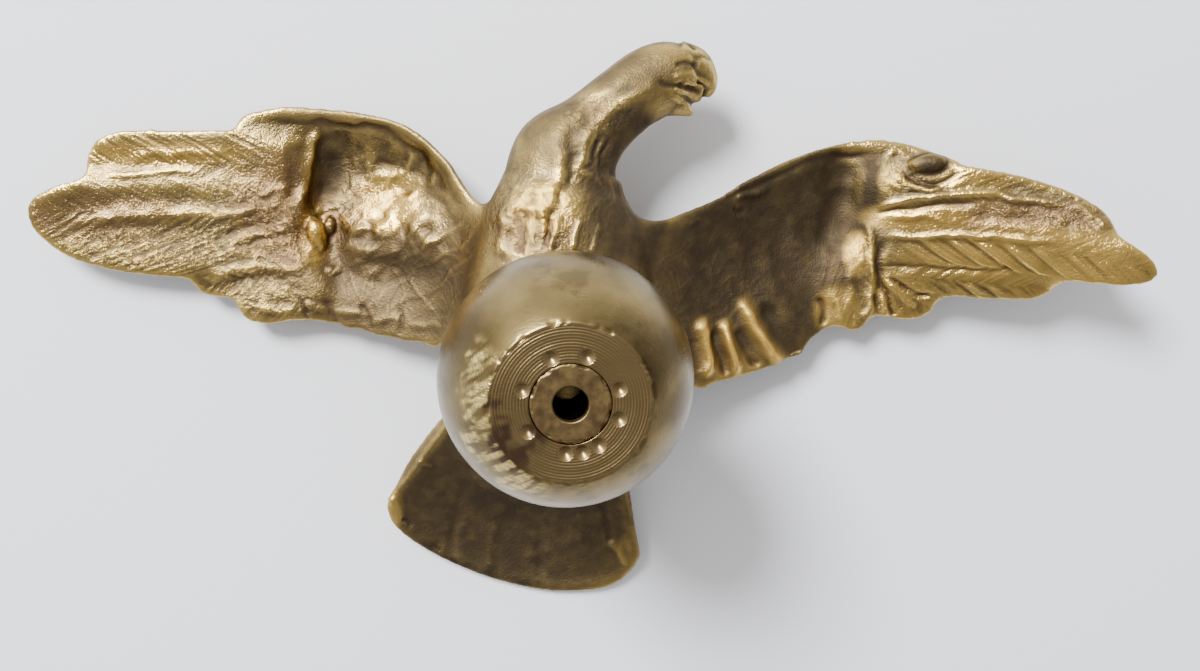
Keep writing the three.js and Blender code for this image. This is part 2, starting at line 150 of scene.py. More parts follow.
class Noise:
    """Smooth seeded noise in space, about -1 to 1."""

    SIDE = 32  # lumps along each side of the lattice, which then repeats
    AWAY = 97.3  # keeps the lattice's corner off the statue
    CREASE = 5  # how thin creases are

    def __init__(self, seed: int) -> None:
        """Draws the lattice of values for a seed."""
        self.lattice = np.random.default_rng(seed).uniform(-1, 1, (self.SIDE,) * 3)

    def at(self, points: np.ndarray, size: float | Row) -> np.ndarray:
        """Reads the noise at points.

        Args:
            points: Places in millimetres.
            size: Width of its lumps in millimetres, one number or one for each axis.

        Returns:
            One value for each point.
        """
        scaled = points / np.asarray(size, float) + self.AWAY
        base = np.floor(scaled).astype(int)
        w = scaled - base
        w = w * w * (3 - 2 * w)
        total = np.zeros(len(points))
        for corner in np.ndindex(2, 2, 2):
            weight = np.prod(np.where(np.array(corner), w, 1 - w), axis=1)
            i, j, k = ((base + corner) % self.SIDE).T
            total += weight * self.lattice[i, j, k]
        return total

    def octaves(self, points: np.ndarray, size: float, count: int = 3) -> np.ndarray:
        """Returns noise with finer and fainter layers added, each half the size of the last."""
        layers = [self.at(points + 13.7 * n, size / 2**n) / 2**n for n in range(count)]
        return np.sum(layers, axis=0)

    def creases(self, points: np.ndarray, size: float | Row) -> np.ndarray:
        """Returns thin wandering valleys: 0 on most of the surface, down to -1 along the lines."""
        return -np.clip(1 - self.CREASE * np.abs(self.at(points, size)), 0, 1)


# Forms, as closed meshes


@dataclass
class Form:
    """A mesh in the figure's frame: points in millimetres, and faces of three or four corners."""

    points: np.ndarray
    faces: list[tuple[int, ...]]

    @classmethod
    def joined(cls, forms: Iterable[Form]) -> Form:
        """Joins forms into one mesh, overlapping as they do.

        Args:
            forms: The forms to join.

        Returns:
            The joined mesh.
        """
        points, faces, shift = [], [], 0
        for form in forms:
            points.append(form.points)
            faces.extend(tuple(i + shift for i in face) for face in form.faces)
            shift += len(form.points)
        return cls(np.vstack(points), faces)


def loft(rings: np.ndarray) -> Form:
    """Closes a skin over rings of points, its two ends filled.

    Args:
        rings: Points as an array of rings, points in a ring, and x, y, z.

    Returns:
        The closed form.
    """
    count, sides, _ = rings.shape
    faces: list[tuple[int, ...]] = []
    for r in range(count - 1):
        for i in range(sides):
            j = (i + 1) % sides
            faces.append((r * sides + i, r * sides + j, (r + 1) * sides + j, (r + 1) * sides + i))
    hubs = count * sides
    for hub, first in ((hubs, 0), (hubs + 1, (count - 1) * sides)):
        for i in range(sides):
            a, b = first + i, first + (i + 1) % sides
            faces.append((hub, b, a) if first == 0 else (hub, a, b))
    points = np.vstack([rings.reshape(-1, 3), rings[0].mean(0), rings[-1].mean(0)])
    return Form(points, faces)


def sheet(upper: np.ndarray, lower: np.ndarray) -> Form:
    """Closes a skin between two grids of points.

    Args:
        upper: The upper face as rows, columns and x, y, z.
        lower: The lower face, of the same shape.

    Returns:
        The closed form.
    """
    rows, columns, _ = upper.shape
    index = np.arange(rows * columns).reshape(rows, columns)
    shift = rows * columns
    faces: list[tuple[int, ...]] = []
    for r in range(rows - 1):
        for c in range(columns - 1):
            a, b, d, e = index[r, c], index[r, c + 1], index[r + 1, c + 1], index[r + 1, c]
            faces.append((a, b, d, e))
            faces.append((a + shift, e + shift, d + shift, b + shift))
    border = [*index[0, :-1], *index[:-1, -1], *index[-1, :0:-1], *index[:0:-1, 0]]
    for a, b in zip(border, border[1:] + border[:1]):
        faces.append((a, a + shift, b + shift, b))
    return Form(np.vstack([upper.reshape(-1, 3), lower.reshape(-1, 3)]), faces)


@dataclass(frozen=True)
class Melt:
    """How a sheet's leaves have run together, in millimetres."""

    front: float  # how far the front is evened out
    back: float = 1.3  # and the back
    rim: float = 1.7  # radius of the rounded rim
    notch: float = 2.0  # width of the notches in the outline that are filled
    outline: float = 1.0  # how far the outline is evened out
    flare: float = 0.9  # share of the body's height that the sheet takes on beside it
    flare_reach: float = 4.5
    least: float = 1.0  # thinnest that the sheet gets


@dataclass
class HeightMap:
    """The top and the bottom of overlapping leaves, seen from above: one sheet, with no cave left in it."""

    low: np.ndarray
    cell: float
    top: np.ndarray
    bottom: np.ndarray
    metal: np.ndarray

    MARGIN = 24  # empty cells round the form
    SPOTS = 9  # spots read along each side of a face
    OUTLINE = 0.5  # mm over which the outline is drawn smooth

    @classmethod
    def of(cls, form: Form, cell: float, like: HeightMap | None = None) -> HeightMap:
        """Maps a form as seen from above.

        Args:
            form: Closed forms, joined.
            cell: The size of the map's cells in millimetres.
            like: A map whose cells it shares, or nothing.

        Returns:
            The map.
        """
        quads = np.array([face if len(face) == 4 else (*face, face[0]) for face in form.faces])
        corners = form.points[quads]
        steps = np.linspace(0, 1, cls.SPOTS)
        u, v = (grid.ravel()[None, :, None] for grid in np.meshgrid(steps, steps))
        a, b, c, d = (corners[:, None, k] for k in range(4))
        spots = ((a * (1 - u) + b * u) * (1 - v) + (d * (1 - u) + c * u) * v).reshape(-1, 3)
        low = like.low if like else spots[:, :2].min(0) - cls.MARGIN * cell
        whole = np.ceil((spots[:, :2].max(0) - low) / cell).astype(int) + cls.MARGIN
        shape = like.top.shape if like else whole
        index = np.round((spots[:, :2] - low) / cell).astype(int)
        held = np.all((index >= 0) & (index < shape), axis=1)
        place = tuple(index[held].T)
        top, bottom = np.full(shape, -np.inf), np.full(shape, np.inf)
        np.maximum.at(top, place, spots[held, 2])
        np.minimum.at(bottom, place, spots[held, 2])
        metal = np.isfinite(top)
        return cls(low, cell, np.where(metal, top, 0.0), np.where(metal, bottom, 0.0), metal)

    def melted(self, melt: Melt, body: HeightMap) -> Form:
        """Runs the leaves together, rounds their rim and flares the sheet where it meets the body.

        Args:
            melt: How far each of these goes.
            body: What the sheet grows out of.

        Returns:
            The sheet as a closed form.
        """
        weight = self.metal.astype(float)
        faces = []
        for heights, reach in ((self.top, melt.front), (self.bottom, melt.back)):
            spread = reach / self.cell
            faces.append(blurred(heights * weight, spread) / np.maximum(blurred(weight, spread), 1e-6))
        top, bottom = faces
        climb = np.where(body.metal, np.maximum(body.top - top, 0), 0)
        top += melt.flare * blurred(climb, melt.flare_reach / self.cell)
        cells = int(melt.notch / self.cell)
        filled = ~grown(~grown(self.metal, cells), cells)
        self.metal = blurred(filled.astype(float), melt.outline / self.cell) > 0.5
        depth, left = np.zeros_like(weight), self.metal
        for turn in range(int(2 * melt.rim / self.cell)):
            depth += left
            left = ~grown(~left, 1, turn)
        share = 1 - np.clip(blurred(depth, 1.0) * self.cell / melt.rim, 0, 1)
        round_off = (1 - np.sqrt(1 - 0.97 * share**2)) * np.maximum(top - bottom, melt.least) / 2
        return self._slab(top - round_off, np.minimum(bottom, top - melt.least) + round_off)

    def _slab(self, top: np.ndarray, bottom: np.ndarray) -> Form:
        """Closes a form between two height maps, its outline drawn smooth.

        Args:
            top: The height of the upper face at each cell.
            bottom: The height of the lower face.

        Returns:
            The closed form.
        """
        soft = blurred(self.metal.astype(float), self.OUTLINE / self.cell)
        slope = np.stack(np.gradient(soft, self.cell), -1)
        x, y = np.meshgrid(*(np.arange(n) * self.cell for n in soft.shape), indexing="ij")
        plan = np.stack([x, y], -1) + self.low
        inner = ~grown(~self.metal, 1, 1)
        move = slope * ((0.5 - soft) / np.maximum((slope**2).sum(-1), 1e-3))[..., None]
        plan += np.clip(move, -self.cell, self.cell) * (self.metal & ~inner)[..., None]
        number = np.full(soft.shape, -1)
        number[self.metal] = np.arange(self.metal.sum())
        corners = [number[:-1, :-1], number[1:, :-1], number[1:, 1:], number[:-1, 1:]]
        quads = np.stack(corners, -1).reshape(-1, 4)
        quads = quads[(quads >= 0).all(axis=1)]
        sides = np.vstack([quads[:, [k, (k + 1) % 4]] for k in range(4)])
        inside = {tuple(side) for side in sides[:, ::-1].tolist()}
        shift = int(self.metal.sum())
        faces = [tuple(quad) for quad in np.vstack([quads, quads[:, ::-1] + shift]).tolist()]
        faces += [(b, a, a + shift, b + shift) for a, b in sides.tolist() if (a, b) not in inside]
        points = [np.column_stack([plan[self.metal], heights[self.metal]]) for heights in (top, bottom)]
        return Form(np.vstack(points), faces)


def bar(stations: Sequence[Row], steps: int = 40, sides: int = 32) -> Form:
    """Makes a rounded bar along stations of x, y, z, half width, upper depth and lower depth.

    Args:
        stations: The bar's sections from end to end.
        steps: How many rings it gets.
        sides: How many points each ring has.

    Returns:
        The closed bar.
    """
    at = np.linspace(0, 1, steps)
    rows = spline(stations, at)
    ahead = spline(stations, np.minimum(at + 0.01, 1)) - spline(stations, np.maximum(at - 0.01, 0))
    tangent = unit(ahead[:, :3])
    side = unit(np.cross(tangent, [0, 0, 1]))
    rise = np.cross(side, tangent)
    angle = np.linspace(0, 2 * np.pi, sides, endpoint=False)
    across, along = np.sin(angle), np.cos(angle)
    depth = np.where(along > 0, rows[:, 4:5], rows[:, 5:6]) * along
    wide = rows[:, 3:4] * across
    rings = rows[:, None, :3] + side[:, None] * wide[..., None] + rise[:, None] * depth[..., None]
    return loft(rings)


ASKEW = (0.31, 0.2, 0.93)  # a direction that no limb runs in


def limb(points: Sequence[Row], girths: Sequence[float], steps: int = 24, sides: int = 16) -> Form:
    """Makes a round bar through points of any direction.

    Args:
        points: The middle line.
        girths: The radius at each point.
        steps: How many rings it gets.
        sides: How many points each ring has.

    Returns:
        The closed bar.
    """
    at = np.linspace(0, 1, steps)
    rows = spline([[*p, g] for p, g in zip(points, girths)], at)
    tangent = unit(np.gradient(rows[:, :3], axis=0))
    side = np.empty_like(tangent)
    side[0] = unit(np.cross(tangent[0], ASKEW))
    for k in range(1, steps):
        side[k] = unit(side[k - 1] - tangent[k] * np.dot(side[k - 1], tangent[k]))
    other = np.cross(tangent, side)
    angle = np.linspace(0, 2 * np.pi, sides, endpoint=False)[None, :, None]
    ring = side[:, None] * np.cos(angle) + other[:, None] * np.sin(angle)
    return loft(rows[:, None, :3] + ring * np.maximum(rows[:, None, 3:4], 0.2))


def lock(start: np.ndarray, end: np.ndarray, half_width: float, height: float, outward: np.ndarray) -> Form:
    """Makes a lock of short feathers: a low leaf, half sunk in the surface that it lies on.

    Args:
        start: Its root, in the surface.
        end: Its tip.
        half_width: Half its width.
        height: How far it stands out.
        outward: The surface's own direction there.

    Returns:
        The closed leaf.
    """
    at = np.linspace(0, 1, 12)
    share = spline([[0.3], [0.85], [1.0], [0.85], [0.1]], at)[:, 0]
    side = unit(np.cross(end - start, outward))
    angle = np.linspace(0, 2 * np.pi, 14, endpoint=False)
    middle = start + (end - start) * at[:, None]
    ring = (
        side * (half_width * share[:, None] * np.cos(angle))[..., None]
        + outward * (height * share[:, None] * np.sin(angle))[..., None]
    )
    return loft(middle[:, None] + ring)


# The figure


@dataclass(frozen=True)
class Casting:
    """Thicknesses of the cast sheet, and the ball that the claws hold, in millimetres."""

    sheet: float = 3.4
    edge: float = 1.6
    ball_radius: float = 33.0
    ball_height: float = 90.0
    claw_gap: float = 0.35  # between the ball and the metal that holds it


CAST = Casting()


@dataclass(frozen=True)
class Feather:
    """One large feather as a curved leaf.

    Its vanes reach lead and trail millimetres to either side of the shaft, which bows sideways between base
    and tip. Hair is the height of the fine oblique strokes on either vane; rope is that of the plump barbs on
    the trailing vane, pitch apart along the shaft. Slant is how far a barb runs tipward for each millimetre
    that it runs outward.
    """

    base: Row
    tip: Row
    lead: float
    trail: float
    bow: float = 0.0
    blunt: float = 5.0
    cup: float = 1.2
    ridge: float = 0.9
    root: float = 0.75
    hair: tuple[float, float] = (0.12, 0.16)
    rope: float = 0.0
    pitch: float = 8.0
    slant: float = 1.2

    ROW = 1.6  # mm between the rows of its mesh
    SHAFT = 1.3  # mm, half the shaft's width
    WANDER = 2.2  # mm that plump barbs stray from even spacing

    def _axes(self) -> tuple[np.ndarray, np.ndarray, np.ndarray]:
        """Finds the feather's own directions.

        Returns:
            Its base, its tip, and the way its leading vane points.
        """
        start, end = np.array(self.base, float), np.array(self.tip, float)
        leading = unit(np.cross([0, 0, 1], end - start))
        return start, end, leading if leading[1] > 0 else -leading

    def half(self, across: np.ndarray, along: np.ndarray) -> np.ndarray:
        """Measures how far the vane reaches from the shaft.

        Args:
            across: The side of the shaft: leading where above 0.
            along: Share of the shaft's length.

        Returns:
            The reach in millimetres.
        """
        rounding = (1 - np.clip(along, 0, 1) ** self.blunt) ** 0.6 + 0.03
        swell = self.root + (1 - self.root) * np.sin(np.clip(along / 0.4, 0, 1) * np.pi / 2)
        return np.where(across > 0, self.lead, self.trail) * swell * rounding

    def form(self) -> Form:
        """Makes the feather as a curved leaf with a raised shaft.

        Returns:
            The closed leaf.
        """
        start, end, leading = self._axes()
        rows = max(24, int(np.linalg.norm(end - start) / self.ROW))
        v = np.linspace(0, 1, rows)[:, None]
        u = np.linspace(-1, 1, 25)[None]
        half = self.half(u, v)
        middle = start + (end - start) * v[..., None]
        middle = middle + leading * (self.bow * np.sin(np.pi * v) + u * half)[..., None]
        middle[..., 2] += self.cup * u**2 * np.minimum(1, half / 4)
        rim = smoothstep(1, 0.7, np.abs(u)) * smoothstep(1, 0.93, v)
        thick = CAST.edge + (CAST.sheet - 0.6 - CAST.edge) * rim
        shaft = self.ridge * np.exp(-((u * half / self.SHAFT) ** 2)) * (1 - v**3)
        upper, lower = middle.copy(), middle.copy()
        upper[..., 2] += thick / 2 + shaft
        lower[..., 2] -= thick / 2
        return sheet(upper, lower)

    def place(self, points: np.ndarray) -> tuple[np.ndarray, np.ndarray, np.ndarray]:
        """Finds where points lie on the feather.

        Args:
            points: Places in the figure's frame.

        Returns:
            How far each lies along the shaft and across it in millimetres, and how much it is inside.
        """
        start, end, leading = self._axes()
        run = (end - start)[:2]
        length = np.linalg.norm(run)
        flat = points[:, :2] - start[:2]
        along = flat @ (run / length) / length
        across = flat @ leading[:2] - self.bow * np.sin(np.pi * np.clip(along, 0, 1))
        inside = smoothstep(0.0, -0.9, np.abs(across) - self.half(across, along))
        inside *= smoothstep(-0.02, 0.06, along)
        return along * length, across, inside * (along < 1.01)

    def relief(self, points: np.ndarray, noise: Noise) -> tuple[np.ndarray, np.ndarray]:
        """Raises the barbs at points.

        Args:
            points: Places in the figure's frame.
            noise: What makes the fine strokes uneven.

        Returns:
            The barbs' height, and how much this feather covers each point.
        """
        along, across, inside = self.place(points)
        run = along - self.slant * np.abs(across) - 0.05 * across**2
        strands = np.stack([run, across * 0.22 + 40 * (across > 0), 0 * run], axis=1)
        hair = np.where(across > 0, *self.hair)
        height = hair * (noise.at(strands, 1.1) + 0.6 * noise.at(strands + 31, 2.3))
        turn = 2 * np.pi * (run + self.WANDER * noise.at(strands, 11)) / self.pitch
        plump = (0.5 * np.sin(turn) + 0.17 * np.sin(2 * turn)) * (0.75 + 0.5 * noise.at(strands + 7, 8))
        length = math.dist(self.base[:2], self.tip[:2])
        height += self.rope * plump * smoothstep(-0.4, -2.2, across) * smoothstep(1.0, 0.6, along / length)
        return height, inside * smoothstep(0.08, 0.3, along / length)


@dataclass(frozen=True)
class Wing:
    """A wing: an arched sheet from body to hand, its large feathers and its short secondaries.

    Stations run from the body outwards: leading edge x, y, z, trailing edge x, y, z, and the hollow's depth.
    Fringe is the line of the secondaries' tips and the point their roots draw towards.
    """

    stations: Sequence[Row]
    feathers: Sequence[Feather]
    fringe: tuple[Row, Row, Row]
    fringe_half: float
    melt: Melt
    knobs: Sequence[tuple[Sequence[Row], Sequence[float]]]  # polished lumps: points and radii

    COVERT_HALF = 7.0
    LOCK_HEIGHT = 1.5

    def surface(self, u: np.ndarray, v: np.ndarray) -> np.ndarray:
        """Finds the middle of the arched sheet.

        Args:
            u: Share of the way from leading to trailing edge.
            v: Share of the way from body to hand.

        Returns:
            A point for each pair of shares.
        """
        rows = spline(self.stations, v)
        chord = (1 - np.cos(np.pi * u)) / 2
        middle = rows[:, :3] + (rows[:, 3:6] - rows[:, :3]) * chord[:, None]
        middle[:, 2] -= rows[:, 6] * np.sin(np.pi * chord**0.7) ** 0.8
        return middle

    def arm(self) -> Form:
        """Makes the arched sheet, thinner towards its edges.

        Returns:
            The closed sheet.
        """
        u, v = np.linspace(0, 1, 60), np.linspace(0, 1, 90)
        grid_u, grid_v = np.meshgrid(u, v)
        middle = self.surface(grid_u.ravel(), grid_v.ravel()).reshape(90, 60, 3)
        rim = smoothstep(0.0, 0.12, grid_u) * smoothstep(1.0, 0.88, grid_u) * smoothstep(1.0, 0.95, grid_v)
        half = (CAST.edge + (CAST.sheet - CAST.edge) * rim) / 2
        upper, lower = middle.copy(), middle.copy()
        upper[..., 2] += half
        lower[..., 2] -= half
        return sheet(upper, lower)

    def secondaries(self, count: int = 4) -> list[Form]:
        """Makes the fluted locks along the trailing edge.

        Args:
            count: How many there are.

        Returns:
            The locks.
        """
        first, last, root = (np.array(p, float) for p in self.fringe)
        forms = []
        for share in np.linspace(0, 1, count):
            tip = first + (last - first) * share
            base = root + (tip - root) * np.array([0.5, 0.5, 0.3])
            forms.append(lock(base, tip, self.fringe_half, self.LOCK_HEIGHT, UP))
        return forms

    def coverts(self, rows: int = 2, each: int = 3) -> list[Form]:
        """Makes the scales of small feathers on the back of the wing.

        Args:
            rows: How many rows there are.
            each: How many scales a row has.

        Returns:
            The scales.
        """
        forms = []
        for row in range(rows):
            for i in range(each):
                v = 0.3 + 0.62 * (i + (row % 2) * 0.5) / each
                chord = 0.16 + 0.34 * row / max(1, rows - 1)
                ends = [self._back(v, chord), self._back(min(1, v + 0.05), chord + 0.27)]
                forms.append(lock(*ends, self.COVERT_HALF, self.LOCK_HEIGHT, DOWN))
        return forms

    def _back(self, v: float, chord: float) -> np.ndarray:
        """Finds a place on the back of the arm.

        Args:
            v: Share of the way from body to hand.
            chord: Share of the way from leading to trailing edge.

        Returns:
            The point, in millimetres.
        """
        row = spline(self.stations, np.array([v]))[0]
        point = row[:3] + (row[3:6] - row[:3]) * chord
        point[2] -= row[6] * math.sin(math.pi * chord) ** 0.8 + CAST.sheet / 2
        return point

    def forms(self) -> list[Form]:
        """Returns everything that the wing is joined from."""
        return [self.arm(), *(f.form() for f in self.feathers), *self.secondaries(), *self.coverts()]


RIGHT_WING = Wing(
    stations=[
        [-12, 36, 33, -10, -18, 34, 0],
        [-23, 40, 29, -26, -6, 28, 2],
        [-33, 52.5, 24, -41, -4, 21, 5],
        [-44, 61.5, 20, -54, -2.5, 17, 8],
        [-58, 65.5, 16, -65, 0.5, 14, 8],
        [-70, 66.8, 13, -77, 2, 12, 8.4],
        [-83, 67.4, 10.5, -86, 5.5, 10.5, 4],
        [-96, 65, 9.5, -94, 30, 10, 0.5],
    ],
    feathers=[
        Feather([-77, 50, 10], [-142, 51.5, 11], lead=9.5, trail=7.5, blunt=12, hair=(0.2, 0.06)),
        Feather([-77, 33, 10.5], [-160, 37, 14], lead=12, trail=18.5, ridge=1.2, hair=(0.08, 0.14)),
        Feather([-74, 21, 12], [-112, 12.5, 11], lead=6, trail=7, blunt=3),
        Feather([-70, 12, 13], [-99, 5, 12], lead=5.5, trail=6.5, blunt=5),
    ],
    fringe=([-65.5, -1, 15], [-38, -6, 22], [-48, 40, 10]),
    fringe_half=5.2,
    melt=Melt(2.5, notch=3.0, outline=1.2),
    knobs=[
        (
            [[-75.6, 34, 9], [-75, 31.5, 10], [-74.4, 28.5, 10], [-73.4, 25, 9], [-72.6, 22, 7.5]],
            [1.0, 2.7, 3.0, 2.2, 0.8],
        ),
        ([[-70.6, 34, 7.5], [-70.4, 31, 8], [-71.6, 28, 7.5]], [0.8, 1.8, 0.8]),
    ],
)

LEFT_WING = Wing(
    stations=[
        [12, 41, 31, 10, -22, 34, 0],
        [29, 34.5, 30, 30, -21, 28, 2],
        [47, 38, 23, 46, -19, 23, 4],
        [62, 45.5, 18, 61, -16.5, 19, 5],
        [78, 52, 13, 75, -12, 16, 4.5],
        [95, 56.3, 11, 88, -3, 12.5, 4.6],
        [110, 56.3, 11.5, 103, 2, 12.5, 3],
        [127.5, 51, 13, 112, 30, 13, 0.5],
    ],
    feathers=[
        Feather([98, 44, 12], [173.5, 32, 28], lead=6.5, trail=7.5, bow=3.5, blunt=6),
        Feather(
            [98, 27, 11], [186, 17, 37], lead=10.5, trail=9, bow=4, ridge=1.2, hair=(0.05, 0.14), rope=0.75,
            pitch=8.4,
        ),
        Feather([99, 14, 12], [157.5, 10.5, 24], lead=5.5, trail=5, bow=1, blunt=7, rope=0.7, pitch=7.6),
        Feather([96, 18, 12], [123, 3, 14], lead=6.5, trail=10, blunt=3),
        Feather([91, 24, 12.5], [98, -4, 13.5], lead=10, trail=8, blunt=3),
    ],
    fringe=([80, -11.5, 16], [47, -20.5, 23], [52, 45, 14]),
    fringe_half=5.4,
    melt=Melt(3.4, notch=3.0, outline=1.4),
    knobs=[
        (
            [[111.5, 49, 12.6], [114.5, 49.6, 15.4], [118, 50.1, 16.4], [121.4, 50.3, 16.2], [124, 50.3, 14]],
            [0.8, 2.3, 3.0, 2.9, 0.8],
        ),
    ],
)


@dataclass(frozen=True)
class Trunk:
    """Body and neck, with rows of locks on chest and back.

    Stations are x, y, z, half width, depth of the belly's side and depth of the back's.
    """

    stations: Sequence[Row] = (
        (-14, -60, 9, 12, 1.5, 3),
        (-13, -50, 14.5, 15, 4, 4),
        (-9, -37, 20, 18, 9, 9),
        (-4, -21, 25, 24, 17, 15),
        (-1, -4, 28, 28, 22, 20),
        (0.5, 14, 29, 28.5, 23, 21),
        (1, 27, 29, 26, 21, 20.5),
        (1.5, 37, 29, 22.5, 18.5, 18.5),
        (2.3, 45, 28, 18.4, 16, 16),
        (4.4, 53.5, 27.5, 16.6, 14.5, 14.5),
        (11.2, 61.4, 27, 11.8, 12, 12),
        (20.6, 69.6, 26.5, 10.6, 10.4, 10.4),
        (28, 74.5, 26, 10.9, 9.4, 9.4),
        (34.6, 77.4, 26, 10.2, 8.6, 8.6),
        (40.6, 79.2, 26, 7.4, 7, 7),
    )

    def forms(self) -> list[Form]:
        """Returns the trunk and its locks."""
        back = self._locks(0.64, 0.28, rows=3, turn=180, spread=44, each=3, length=0.14, half=6.8, height=1.8)
        return [bar(self.stations, 110, 64), *back]

    def _point(self, at: float, angle: float, proud: float) -> np.ndarray:
        """Finds a place on the trunk's skin, or beside it.

        Args:
            at: Share of the way from tail to head.
            angle: Degrees round the trunk, from the belly's middle.
            proud: How far off the skin, in millimetres.

        Returns:
            The point, in millimetres.
        """
        row = spline(self.stations, np.array([at]))[0]
        behind, ahead = spline(self.stations, np.array([at - 0.01, min(1, at + 0.01)]))
        tangent = unit((ahead - behind)[:3])
        side = unit(np.cross(tangent, [0, 0, 1]))
        across, along = math.sin(math.radians(angle)), math.cos(math.radians(angle))
        depth = row[4] if along > 0 else row[5]
        return row[:3] + side * (row[3] + proud) * across + np.cross(side, tangent) * (depth + proud) * along

    def _locks(
        self, start: float, end: float, rows: int, turn: float, spread: float, each: int, length: float,
        half: float, height: float,
    ) -> list[Form]:
        """Lays rows of locks on the trunk, like tiles.

        Args:
            start: Where the first row's roots lie, from tail to head.
            end: Where the last row's lie.
            rows: How many rows there are.
            turn: Degrees round the trunk to the rows' middle.
            spread: Degrees that a row reaches to either side.
            each: How many locks a row has.
            length: Length of a lock as a share of the trunk's.
            half: Half the width of a lock.
            height: How far a lock stands out.

        Returns:
            The locks.
        """
        forms = []
        for row in range(rows):
            at = start + (end - start) * row / max(1, rows - 1)
            for i in range(each):
                angle = turn + spread * ((i + 0.5 * (row % 2)) / max(1, each - 0.5) - 0.5) * 2
                root, tip = self._point(at, angle, -0.6), self._point(at - length, angle, 0.2)
                middle = spline(self.stations, np.array([at - length / 2]))[0, :3]
                forms.append(lock(root, tip, half, height, unit((root + tip) / 2 - middle)))
        return forms


@dataclass(frozen=True)
class Head:
    """Beak, jaw and palate on the neck's end. Rows are x, y, half height and half thickness."""

    height: float = 26.0
    beak: Sequence[Row] = (
        (37, 79.6, 8, 7.2), (41.6, 78.9, 6.6, 5.8), (44.9, 76.2, 4.4, 4.4), (46, 73.4, 2.7, 3),
        (45.5, 70.8, 1, 1.4),
    )
    jaw: Sequence[Row] = ((29, 74, 7, 6.6), (35, 70, 5.4, 5), (39.2, 67.2, 2.4, 3), (41.4, 65.6, 0.8, 1))
    palate: Sequence[Row] = ((34, 75, 4, 6.4), (39.6, 73, 4, 5.4), (44.3, 72.2, 2.8, 4.2))

    def forms(self) -> list[Form]:
        """Makes beak, jaw and palate.

        Returns:
            Their forms.
        """
        profiles = [[[x, y, self.height, half, thick, thick] for x, y, half, thick in rows]
                    for rows in (self.beak, self.jaw, self.palate)]
        return [bar(rows) for rows in profiles]


@dataclass(frozen=True)
class Tail:
    """The tail fan: a dished sheet from two root corners to a curved rim."""

    root: tuple[Row, Row] = ((-23, -14, 20), (16, -22, 20))
    rim: Sequence[Row] = (
        (-55.9, -60, 9.5), (-53.4, -69, 7.5), (-41, -79.5, 5.8), (-23.5, -88.6, 4.8),
        (-5, -94, 4.4), (8, -95, 4.4), (20.5, -92.4, 5.2), (28.7, -83.4, 6.6),
    )
    dish: float = 4.5
    feathers: int = 6
    bead: float = 0.9
    bead_share: float = 0.05  # its half width as a share of the fan
    melt: Melt = Melt(0.8, outline=2.6)

    QUILL = (5.2, 1.3)  # half width and height of a feather on the back

    def surface(self, across: np.ndarray, along: np.ndarray) -> np.ndarray:
        """Finds the middle of the fan.

        Args:
            across: Share of the way from its left side to its right.
            along: Share of the way from root to rim.

        Returns:
            A point for each pair of shares.
        """
        rim = spline(self.rim, across)
        left, right = (np.array(p, float) for p in self.root)
        inner = left + (right - left) * across[:, None]
        point = inner + (rim - inner) * along[:, None]
        point[:, 2] -= self.dish * np.sin(np.pi * across) * np.sin(np.pi * along)
        return point

    def forms(self) -> list[Form]:
        """Makes the fan with a rolled rim, and the feathers on its back.

        Returns:
            Their forms.
        """
        grid_u, grid_v = np.meshgrid(np.linspace(0, 1, 80), np.linspace(0, 1, 70))
        middle = self.surface(grid_u.ravel(), grid_v.ravel()).reshape(70, 80, 3)
        edge = smoothstep(0, 0.03, grid_u) * smoothstep(1, 0.97, grid_u) * smoothstep(1, 0.97, grid_v)
        thin = CAST.edge * 1.3
        half = (thin + (CAST.sheet - thin) * edge) / 2
        upper, lower = middle.copy(), middle.copy()
        bead = sum(np.exp(-((away / self.bead_share) ** 2)) for away in (1 - grid_v, grid_u, 1 - grid_u))
        upper[..., 2] += half + self.bead * np.minimum(bead, 1)
        lower[..., 2] -= half
        quills = []
        for i in range(self.feathers):
            share = np.array([(i + 0.5) / self.feathers] * 2)
            root, tip = self.surface(share, np.array([0.15, 0.97])) - [0, 0, CAST.sheet / 2]
            quills.append(lock(root, tip, *self.QUILL, DOWN))
        return [sheet(upper, lower), *quills]


@dataclass(frozen=True)
class Feet:
    """Legs and claws, laid on the ball's far half. Angles are degrees from its point nearest the body."""

    foot_polar: float = 30.0
    toes: Sequence[tuple[float, float]] = ((57, 58), (58, 18), (56, -28), (54, -82))
    girth: float = 3.1
    sunk: float = 0.7  # how far a toe's middle line lies nearer the ball than its radius

    def _on_ball(self, polar: float, azimuth: float, proud: float) -> list[float]:
        """Finds a place off the ball's far half.

        Args:
            polar: Degrees from the ball's point nearest the body.
            azimuth: Degrees round the ball's axis.
            proud: How far past the claws' gap, in millimetres.

        Returns:
            The point, in millimetres.
        """
        reach = CAST.ball_radius + CAST.claw_gap + proud
        down, around = math.radians(polar), math.radians(azimuth)
        out = reach * math.sin(down)
        return [out * math.cos(around), out * math.sin(around), CAST.ball_height - reach * math.cos(down)]

    def forms(self) -> list[Form]:
        """Makes both legs with their claws.

        Returns:
            Their forms.
        """
        forms = []
        for flank in (-1, 1):
            facing = 0 if flank > 0 else 180
            foot = self._on_ball(self.foot_polar, facing, self.girth * 0.8)
            leg = [[flank * 14, 1, 38], [flank * 17.5, 2, 48], foot]
            forms.append(limb(leg, [11.5, 8.6, self.girth * 1.5]))
            girths = [share * self.girth for share in (1.05, 1, 0.85, 0.2)]
            for polar, turn in self.toes:
                path = []
                for i, girth in enumerate(girths):
                    down = self.foot_polar + (polar - self.foot_polar) * i / 3
                    path.append(self._on_ball(down, facing + flank * turn * i / 3, girth - self.sunk))
                forms.append(limb(path, girths))
        return forms


# Carving: what the tool and the file left on the faces


